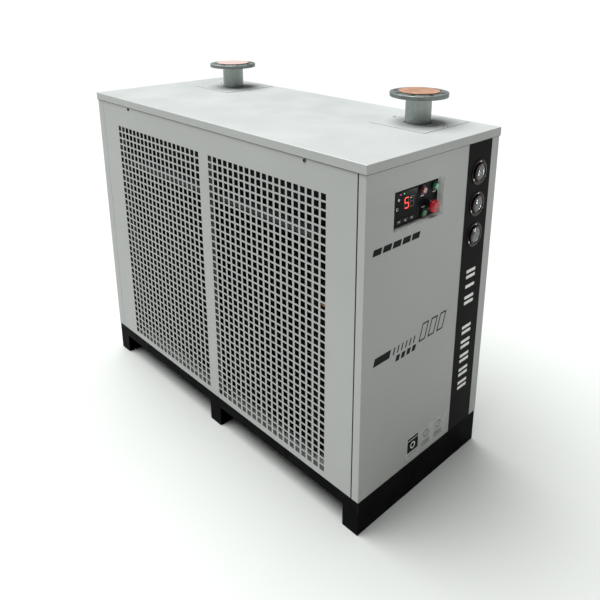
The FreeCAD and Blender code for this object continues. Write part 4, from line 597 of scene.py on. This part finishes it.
DIAL_SWEEP = 270
DIAL_ZERO = 225
TICK_OUTER = 22.3 * MM
LONG_TICK_INNER = 17.5 * MM
SHORT_TICK_INNER = 20.0 * MM
SCALE_LINE = (22.6 * MM, 23.1 * MM)
BAND = (23.4 * MM, 25.2 * MM)
LIMIT_FROM = 0.86
NUMBER_CIRCLE = 14.2 * MM
NUMBER_SIZE = 5.2 * MM
SCREW_CIRCLE = 37.6 * MM
FLUTE_CIRCLE = 33.1 * MM
FLUTES = 48
ZONES = {"suction_gauge": (0.18, 0.42), "discharge_gauge": (0.34, 0.66), "air_gauge": (0.30, 0.75)}
DIAL_NUMBERS = {"suction_gauge": (0, 2, 4, 6, 8, 10), "discharge_gauge": (0, 8, 16, 24, 32, 40),
                "air_gauge": (0, 4, 8, 12, 16)}


def gauge_centre(name):
    low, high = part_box(name + "_case")
    return Vector((0, (low.y + high.y) / 2, (low.z + high.z) / 2))


def dial_angle(share):
    """The direction of a reading, in degrees anticlockwise from the right, seen from the front."""
    return DIAL_ZERO - DIAL_SWEEP * share


def on_circle(centre, radius, degrees):
    """The Y and Z of a point on a circle round a gauge's centre."""
    angle = math.radians(degrees)
    return centre.y + radius * math.cos(angle), centre.z + radius * math.sin(angle)


def dial_scale(name):
    """Ticks and coloured bands printed on one dial."""
    centre = gauge_centre(name)
    origin = (DIAL_FACE + 0.02 * MM, centre.y, centre.z)
    ticks = Piece(name + "_ticks")
    for index in range(51):
        long = index % 10 == 0
        inner = LONG_TICK_INNER if long else SHORT_TICK_INNER
        half = 0.38 * MM if long else 0.17 * MM
        mark = [(inner, -half), (TICK_OUTER, -half), (TICK_OUTER, half), (inner, half)]
        ticks.slab(turned_outline(mark, dial_angle(index / 50)), origin, INK)
    ticks.slab(ring_part(*SCALE_LINE, dial_angle(1), dial_angle(0), 60), origin, INK)
    ticks.finish(DIAL_INK, "cabinet")
    low, high = ZONES[name]
    bands = (("_normal_band", low, high, DIAL_GREEN, "lamp_green"),
             ("_limit_band", LIMIT_FROM, 1.0, DIAL_RED, "stop_red"))
    for label, start, end, material, slot in bands:
        band = Piece(name + label)
        outline = ring_part(*BAND, dial_angle(end), dial_angle(start), 30)
        band.slab(outline, origin, INK)
        band.finish(material, "cabinet")


def dial_numbers(name):
    """Plain numbers round the dial, as one mesh."""
    centre = gauge_centre(name)
    numbers = DIAL_NUMBERS[name]
    parts = []
    for index, number in enumerate(numbers):
        y, z = on_circle(centre, NUMBER_CIRCLE, dial_angle(index / (len(numbers) - 1)))
        curve = bpy.data.curves.new(name + "_number", "FONT")
        curve.body = str(number)
        curve.size = NUMBER_SIZE
        curve.align_x = "CENTER"
        curve.align_y = "CENTER"
        curve.extrude = 0.04 * MM
        made = bpy.data.objects.new(curve.name, curve)
        bpy.context.scene.collection.objects.link(made)
        made.matrix_world = Matrix.Translation((DIAL_FACE + 0.06 * MM, y, z)) @ FACING_X
        parts.append(made)
    bpy.context.view_layer.update()
    mesh = bmesh.new()
    for made in parts:
        data = bpy.data.meshes.new_from_object(made)
        data.transform(made.matrix_world)
        mesh.from_mesh(data)
        bpy.data.objects.remove(made)
        bpy.data.meshes.remove(data)
    piece = Piece(name + "_numbers")
    piece.mesh.free()
    piece.mesh = mesh
    piece.finish(DIAL_INK, "cabinet")


# Turns something drawn in the XY plane to face +X, its top towards +Z
FACING_X = Matrix(((0, 0, 1, 0), (1, 0, 0, 0), (0, 1, 0, 0), (0, 0, 0, 1)))


def gauge_fixings(name):
    """Three bright slotted screws through the flange and a fluted rim on the bezel."""
    centre = gauge_centre(name)
    face = STRIP_HIGH.x + 2.5 * MM
    screws = Piece(name + "_screws")
    head = in_mm([(0, 3.3), (0.6, 3.3), (1.2, 2.9), (1.6, 2.0), (1.75, 0.9)])
    slot = rectangle(4.4 * MM, 0.7 * MM)
    for degrees in (90, 210, 330):
        y, z = on_circle(centre, SCREW_CIRCLE, degrees)
        screws.turned(head, (face, y, z), (1, 0, 0), 20)
        screws.slab(turned_outline(slot, degrees + 35), (face + 1.72 * MM, y, z), 0.1 * MM)
    screws.finish(STEEL_SCREW, "cabinet")
    flutes = Piece(name + "_bezel_flutes")
    flute = in_mm([(0, 0.55), (3.0, 0.55), (3.4, 0.3)])
    for index in range(FLUTES):
        y, z = on_circle(centre, FLUTE_CIRCLE, index * 360 / FLUTES)
        flutes.turned(flute, (face + 0.2 * MM, y, z), (1, 0, 0), 8)
    flutes.finish(SLOT_MATERIALS["gauge_case"], "cabinet")


def gauge_glasses():
    """Domed glasses over the three dials, which catch the light as a bright patch."""
    glasses = Piece("gauge_glass_domes")
    rim = 27.8 * MM
    rise = 2.6 * MM
    steps = 10
    curve = (rim * rim + rise * rise) / (2 * rise)
    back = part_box("gauge_lenses")[0].x
    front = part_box("gauge_lenses")[1].x
    for name in GAUGES:
        centre = gauge_centre(name)
        profile = [(0, 0.4 * MM), (0, rim)]
        for step in range(steps + 1):
            radius = rim * (1 - step / steps) + 0.3 * MM * step / steps
            along = front - back - 0.4 * MM + math.sqrt(curve * curve - radius * radius) - curve + rise
            profile.append((along, radius))
        glasses.turned(profile, (back, centre.y, centre.z), (1, 0, 0), 48)
    made = glasses.finish(SLOT_MATERIALS["gauge_glass"], "cabinet")
    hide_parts("gauge_lenses")


# ---------------------------------------------------------------- controller

PANE_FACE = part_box("controller_window")[1].x
CASE_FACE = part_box("controller_case")[1].x
PANE_LOW, PANE_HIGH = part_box("controller_window")
# The seven bars of a digit, in units of half its width and half its height: centre and direction
DIGIT_BARS = {"a": (0, 1, True), "b": (1, 0.5, False), "c": (1, -0.5, False), "d": (0, -1, True),
              "e": (-1, -0.5, False), "f": (-1, 0.5, False), "g": (0, 0, True)}


def digit_bar(half, thick):
    """A bar with pointed ends."""
    return [(-half, 0), (-half + thick, thick), (half - thick, thick), (half, 0), (half - thick, -thick),
            (-half + thick, -thick)]


def display_digit(name, centre_y, centre_z, width, height, lit):
    """One digit of the display, its lit bars glowing and the others dark."""
    for label, wanted, material in (("_lit", True, LED_RED), ("_unlit", False, LED_DIM)):
        bars = [bar for bar in DIGIT_BARS if (bar in lit) == wanted]
        if not bars:
            continue
        piece = Piece(name + label)
        for bar in bars:
            across, up, level = DIGIT_BARS[bar]
            half = (width if level else height / 2) / 2 - 0.5 * MM
            outline = turned_outline(digit_bar(half, 1.35 * MM), 0 if level else 90)
            outline = moved(outline, across * width / 2, up * height / 2)
            piece.slab(outline, (PANE_FACE + 0.05 * MM, centre_y, centre_z), 0.12 * MM)
        piece.finish(material, "cabinet")


def small_lights():
    """Round status lights along the top of the display, and its printed symbols, which are given a faint
    painted glow.
    """
    top = PANE_HIGH.z - 6 * MM
    places = ((0.27, LED_MAGENTA, "lamp_red"), (0.42, LED_GREEN, "lamp_green"), (0.56, LED_DIM, "lamp_red"))
    for index, (share, material, slot) in enumerate(places):
        y = PANE_LOW.y + share * (PANE_HIGH.y - PANE_LOW.y)
        light = Piece(f"status_light_{index + 1}")
        light.turned(in_mm([(0, 1.8), (0.25, 1.6), (0.4, 0.9)]), (PANE_FACE, y, top), (1, 0, 0), 20)
        light.finish(material, "cabinet")
    symbols = Piece("display_symbols")
    left = PANE_LOW.y + 15 * MM
    origin = (PANE_FACE + 0.05 * MM, left, (PANE_LOW.z + PANE_HIGH.z) / 2)
    for degrees in range(0, 180, 60):
        bar = turned_outline(rectangle(10 * MM, 0.9 * MM), degrees)
        symbols.slab(moved(bar, 6 * MM, 18 * MM), origin, 0.1 * MM)
    symbols.slab(moved(ring_part(3.4 * MM, 4.4 * MM, 30, 330), 0, -10 * MM), origin, 0.1 * MM)
    symbols.slab(moved(rectangle(8 * MM, 2 * MM), 62 * MM, 14 * MM), origin, 0.1 * MM)
    symbols.finish(ICON_GLOW_WHITE, "cabinet")


def key_legend(node, outline):
    """A plain printed shape on one key."""
    low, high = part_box(node)
    legend = Piece(node + "_legend")
    legend.slab(outline, (high.x, (low.y + high.y) / 2, (low.z + high.z) / 2), INK)
    legend.finish(MARK_WHITE, node)


def bezel_frame():
    """A raised frame round the display."""
    frame_piece = Piece("display_frame")
    rail = 1.6 * MM
    low_y, high_y, low_z, high_z = PANE_LOW.y, PANE_HIGH.y, PANE_LOW.z, PANE_HIGH.z
    rails = ((low_y - rail, high_y + rail, high_z, high_z + rail),
             (low_y - rail, high_y + rail, low_z - rail, low_z),
             (low_y - rail, low_y, low_z, high_z),
             (high_y, high_y + rail, low_z, high_z))
    for y0, y1, z0, z1 in rails:
        frame_piece.box((CASE_FACE - 0.2 * MM, y0, z0), (CASE_FACE + 0.8 * MM, y1, z1), 0.25 * MM)
    frame_piece.finish(SLOT_MATERIALS["controller_black"], "cabinet")


def switch_plate():
    """The dark plate behind the lamps and switches, with a printed bar beside each lamp and the start
    button.
    """
    low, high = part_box("control_tray")
    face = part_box("controller_case")[1].x - 5 * MM
    y0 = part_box("controller_case")[1].y + 2 * MM
    margin = 13 * MM
    y1 = high.y - margin
    z0, z1 = low.z + margin, high.z - margin
    plate = Piece("switch_plate")
    outline = moved(rounded_outline(y1 - y0, z1 - z0, 2 * MM), (y0 + y1) / 2, (z0 + z1) / 2)
    plate.slab(outline, (face, 0, 0), 0.25 * MM)
    plate.finish(SWITCH_PLATE, "cabinet")
    bars = Piece("switch_plate_marks")
    for node, drop in (("fault_lamp", 19), ("run_lamp", 19), ("start_button", -17.5)):
        lamp_low, lamp_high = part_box(node)
        centre_y, centre_z = (lamp_low.y + lamp_high.y) / 2, (lamp_low.z + lamp_high.z) / 2
        outline = rounded_outline(16 * MM, 2.6 * MM, 0.6 * MM, 2)
        bars.slab(moved(outline, centre_y, centre_z - drop * MM), (face + 0.27 * MM, 0, 0), 0.1 * MM)
    bars.finish(MARK_WHITE, "cabinet")


def stop_head_arrows():
    """Three raised curved arrows on the mushroom head, showing which way it twists."""
    low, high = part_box("emergency_stop_head")
    centre = Vector((0, (low.y + high.y) / 2, (low.z + high.z) / 2))
    arrows = Piece("stop_head_arrows")
    for start in (20, 140, 260):
        origin = (high.x - 0.25 * MM, centre.y, centre.z)
        arrows.slab(ring_part(7.4 * MM, 9.0 * MM, start, start + 62), origin, 0.25 * MM)
        tip, root = math.radians(start - 10), math.radians(start + 6)
        head = [(radius * math.cos(angle), radius * math.sin(angle))
                for radius, angle in ((8.2 * MM, tip), (10.4 * MM, root), (6.0 * MM, root))]
        arrows.slab(head, origin, 0.25 * MM)
    arrows.finish(MARK_WHITE, "emergency_stop_head")


# ---------------------------------------------------------------- cabinet seams

def lid_seal():
    """A thin black strip under the lid's skirt, all round: painted shade, a dark line standing in for the
    shadow in the gap under the skirt.
    """
    dark_strip = Piece("lid_seal")
    low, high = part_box("lid")
    wall = 1.5 * MM
    lip = 3.4 * MM
    drop = 1.5 * MM
    for y0, y1 in ((low.y + 0.4 * MM, low.y + lip), (high.y - lip, high.y - 0.4 * MM)):
        dark_strip.box((low.x + wall, y0, low.z - drop), (high.x - wall, y1, low.z), 0.3 * MM)
    for x0, x1 in ((low.x + 0.4 * MM, low.x + lip), (high.x - lip, high.x - 0.4 * MM)):
        dark_strip.box((x0, low.y + lip, low.z - drop), (x1, high.y - lip, low.z), 0.3 * MM)
    dark_strip.finish(GAP_SHADOW_BLACK, "cabinet")


def panel_seams():
    """Thin black strips in the upright seams between the side panels and the control end panel: painted
    shade, standing in for the shadow in the gaps.
    """
    seams = Piece("panel_seams")
    proud = 0.2 * MM
    depth = 3 * MM
    half = 2.3 * MM
    low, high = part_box("control_end_panel")
    x = (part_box("grille_side_panel")[1].x + low.x) / 2
    bottom, top = low.z + 1 * MM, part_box("lid")[0].z - 2 * MM
    for y0, y1 in ((low.y - proud, low.y + depth), (high.y - depth, high.y + proud)):
        seams.box((x - half, y0, bottom), (x + half, y1, top))
    seams.finish(GAP_SHADOW_BLACK, "cabinet")


# ---------------------------------------------------------------- plain marks and plates

def strip_marks():
    """Plain white bars down the black strip, in two groups, in place of any words."""
    marks = Piece("strip_marks")
    centre_y = STRIP_LOW.y + 0.49 * (STRIP_HIGH.y - STRIP_LOW.y)
    top = LID_TOP - 478 * MM
    bar = 12 * MM
    for drop, rows in ((0, 2), (57, 1), (99, 2), (216, 2), (273, 2), (330, 2), (387, 2), (441, 2)):
        for row in range(rows):
            z = top - drop * MM - row * 21 * MM - bar / 2
            outline = rounded_outline(54 * MM, bar, 1.5 * MM, 3)
            marks.slab(outline, (STRIP_HIGH.x, centre_y, z), 0.15 * MM)
    marks.finish(MARK_WHITE, "cabinet")


def panel_marks():
    """Plain dark bars and open frames where the end panel carries its printing."""
    lean = 0.3

    def leaning(y, z, width, height):
        return moved([(0, 0), (width, 0), (width + height * lean, height), (height * lean, height)], y, z)

    def bar(piece, y, z, width, height):
        piece.slab(leaning(y, z, width, height), (PANEL_FACE, 0, 0), 0.12 * MM)

    upper = Piece("panel_mark_upper")
    for index in range(5):
        bar(upper, (-300 + index * 44) * MM, LID_TOP - 276 * MM, 37 * MM, 20 * MM)
    upper.finish(MARK_BLACK, "cabinet")

    middle = Piece("panel_mark_middle")
    base = LID_TOP - 640 * MM
    bar(middle, -282 * MM, base, 76 * MM, 27 * MM)
    for index in range(6):
        bar(middle, (-190 + index * 20) * MM, base + 2 * MM, 6 * MM, 24 * MM)
    for index in range(4):
        bar(middle, (-176 + index * 27) * MM, base - 27 * MM, 18 * MM, 20 * MM)
    for index in range(3):
        y, height, line = (-60 + index * 48) * MM, 62 * MM, 5 * MM
        for row in (0, height - line):
            bar(middle, y + row * lean, base + row - 8 * MM, 34 * MM, line)
        for side in (0, 29 * MM):
            bar(middle, y + side + line * lean, base + line - 8 * MM, line, height - 2 * line)
    middle.finish(MARK_BLACK, "cabinet")


def rating_plates():
    """A riveted rating plate and two plain stickers low on the end panel."""
    def sheet(name, y0, y1, z0, z1, thick, material):
        piece = Piece(name)
        outline = moved(rounded_outline(y1 - y0, z1 - z0, 1.5 * MM, 3), (y0 + y1) / 2, (z0 + z1) / 2)
        piece.slab(outline, (PANEL_FACE, 0, 0), thick)
        piece.finish(material, "cabinet")

    low, high = 150 * MM, 236 * MM
    sheet("rating_plate", -92 * MM, -28 * MM, low, high, 0.5 * MM, PLATE_SILVER)
    for name, y in (("sticker_left", -18 * MM), ("sticker_right", 54 * MM)):
        sheet(name, y, y + 62 * MM, low + 4 * MM, high - 2 * MM, 0.15 * MM, STICKER_FILM)
    lines = Piece("plate_lines")
    face = PANEL_FACE + 0.5 * MM

    def line(y, z, width, height, x=face):
        outline = [(0, 0), (width, 0), (width, height), (0, height)]
        lines.slab(moved(outline, y, z), (x, 0, 0), INK)

    line(-89 * MM, high - 13 * MM, 58 * MM, 9 * MM)
    line(-89 * MM, low + 24 * MM, 58 * MM, 46 * MM)
    for row in range(3):
        line(-86 * MM, low + (5 + row * 6) * MM, 50 * MM, 1.6 * MM)
    sticker = PANEL_FACE + 0.16 * MM
    for y in (-18 * MM, 54 * MM):
        origin = (sticker, y + 31 * MM, high - 32 * MM)
        lines.slab(ring_part(12 * MM, 14 * MM, 0, 359, 48), origin, INK)
        for row in range(3):
            line(y + 9 * MM, low + (10 + row * 7) * MM, 44 * MM, 2 * MM, sticker)
    lines.finish(MARK_BLACK, "cabinet")
    emblem = Piece("rating_plate_ring")
    origin = (face + 0.1 * MM, -60 * MM, low + 47 * MM)
    emblem.slab(ring_part(9 * MM, 13 * MM, 0, 359, 48), origin, 0.06 * MM)
    emblem.finish(MARK_WHITE, "cabinet")
    rivets = Piece("rating_plate_rivets")
    for y in (-89.5 * MM, -30.5 * MM):
        for z in (low + 2.5 * MM, high - 2.5 * MM):
            rivets.turned(in_mm([(0, 1.6), (0.5, 1.4), (0.9, 0.6)]), (face, y, z), (1, 0, 0), 14)
    rivets.finish(STEEL_SCREW, "cabinet")


# ---------------------------------------------------------------- base

def weld_bead(piece, start, end, radius):
    """A weld along a straight seam: overlapping ripples."""
    ripple = 3.2 * MM
    start, end = Vector(start), Vector(end)
    length = (end - start).length
    along = (end - start) / length
    count = max(2, int(length / ripple))
    profile = []
    for index in range(count):
        at = index * ripple
        swell = 1.0 + 0.12 * math.sin(index * 2.3)
        profile += [(at, radius * 0.72 * swell), (at + ripple * 0.45, radius * swell)]
    piece.turned(profile, start, along, 8)


def base_welds():
    """Beads where the base rails meet at the corners and where they sit on the skids."""
    beads = Piece("base_welds")
    low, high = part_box("base_frame")
    skid_low, skid_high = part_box("base_skids")
    inset = 1.0 * MM
    for x in (low.x + inset, high.x - inset):
        for y in (low.y + inset, high.y - inset):
            weld_bead(beads, (x, y, low.z + 2 * MM), (x, y, high.z - 2 * MM), 1.6 * MM)
    half = 33 * MM
    for centre in (skid_low.x + half, 0.0, skid_high.x - half):
        for y in (low.y + 4 * MM, high.y - 4 * MM):
            reach = half - 3 * MM
            weld_bead(beads, (centre - reach, y, skid_high.z), (centre + reach, y, skid_high.z), 2.4 * MM)
    beads.finish(WELD, "cabinet")


condenser_fins()
condenser_tube_rows()
for gauge in GAUGES:
    dial_scale(gauge)
    dial_numbers(gauge)
    gauge_fixings(gauge)
gauge_glasses()
display_digit("display_digit_left", PANE_LOW.y + 58 * MM, PANE_LOW.z + 41 * MM, 17 * MM, 32 * MM, "acdfg")
display_digit("display_digit_right", PANE_LOW.y + 83 * MM, PANE_LOW.z + 41 * MM, 17 * MM, 32 * MM, "")
small_lights()
key_legend("key_up", [(-3.2 * MM, -2.2 * MM), (3.2 * MM, -2.2 * MM), (0, 2.8 * MM)])
key_legend("key_down", [(3.2 * MM, 2.2 * MM), (-3.2 * MM, 2.2 * MM), (0, -2.8 * MM)])
key_legend("key_set", rounded_outline(8 * MM, 2.2 * MM, 0.6 * MM, 2))
bezel_frame()
switch_plate()
stop_head_arrows()
lid_seal()
panel_seams()
strip_marks()
panel_marks()
rating_plates()
base_welds()


# ---------------------------------------------------------------- floor, light and camera

def studio():
    """A plain pale floor under a wide soft light."""
    data = bpy.data.meshes.new("floor")
    half = FLOOR_SIZE / 2
    corners = [(-half, -half, 0), (half, -half, 0), (half, half, 0), (-half, half, 0)]
    data.from_pydata(corners, [], [(0, 1, 2, 3)])
    floor = bpy.data.objects.new("floor", data)
    bpy.context.scene.collection.objects.link(floor)
    s = Shader("floor", Specular_IOR_Level=0.1)
    s.colour(s.mix(s.range(s.noise(0.8, 3.0), 0.3, 0.7), (0.425, 0.421, 0.398), (0.435, 0.431, 0.408)))
    s.rough(0.9)
    data.materials.append(s.material)

    sun = bpy.data.lights.new("sky_panel", "SUN")
    sun.energy = SUN_STRENGTH
    sun.angle = SUN_SOFTNESS
    sun.color = (0.93, 0.972, 1.0)
    lamp = bpy.data.objects.new("sky_panel", sun)
    bpy.context.scene.collection.objects.link(lamp)
    towards = Vector((math.cos(SUN_TOWARDS) * math.sin(SUN_TILT), math.sin(SUN_TOWARDS) * math.sin(SUN_TILT),
                      math.cos(SUN_TILT)))
    lamp.rotation_mode = "QUATERNION"
    lamp.rotation_quaternion = towards.to_track_quat("Z", "Y")

    pane = bpy.data.lights.new("window_light", "AREA")
    pane.shape = "RECTANGLE"
    pane.size, pane.size_y = WINDOW_SIZE
    pane.energy = WINDOW_LIGHT
    window = bpy.data.objects.new("window_light", pane)
    bpy.context.scene.collection.objects.link(window)
    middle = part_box("gauge_lenses")
    aim = (middle[0] + middle[1]) / 2
    direction = Vector(WINDOW_DIRECTION).normalized()
    window.rotation_mode = "QUATERNION"
    window.rotation_quaternion = direction.to_track_quat("Z", "Y")
    window.location = aim + direction * WINDOW_DISTANCE

    world = bpy.data.worlds.new("studio")
    bpy.context.scene.world = world
    world.use_nodes = True
    background = world.node_tree.nodes["Background"]
    bpy.context.scene.view_settings.view_transform = "Standard"
    background.inputs["Color"].default_value = (0.96, 0.98, 1.0, 1.0)
    background.inputs["Strength"].default_value = WORLD_STRENGTH


def photograph_camera():
    azimuth, elevation, roll = CAMERA_AZIMUTH, CAMERA_ELEVATION, CAMERA_ROLL
    back = Vector((math.sin(azimuth) * math.cos(elevation), -math.cos(azimuth) * math.cos(elevation),
                   math.sin(elevation)))
    right = Vector((math.cos(azimuth), math.sin(azimuth), 0))
    up = back.cross(right)
    rolled_right = right * math.cos(roll) + up * math.sin(roll)
    rolled_up = up * math.cos(roll) - right * math.sin(roll)
    data = bpy.data.cameras.new("camera")
    data.sensor_width = 36
    data.lens = CAMERA_LENS
    data.shift_x, data.shift_y = CAMERA_SHIFT
    camera = bpy.data.objects.new("camera", data)
    bpy.context.scene.collection.objects.link(camera)
    turn = Matrix((rolled_right, rolled_up, back)).transposed().to_4x4()
    camera.matrix_world = Matrix.Translation(Vector(CAMERA_PLACE)) @ turn
    bpy.context.scene.camera = camera


studio()
photograph_camera()
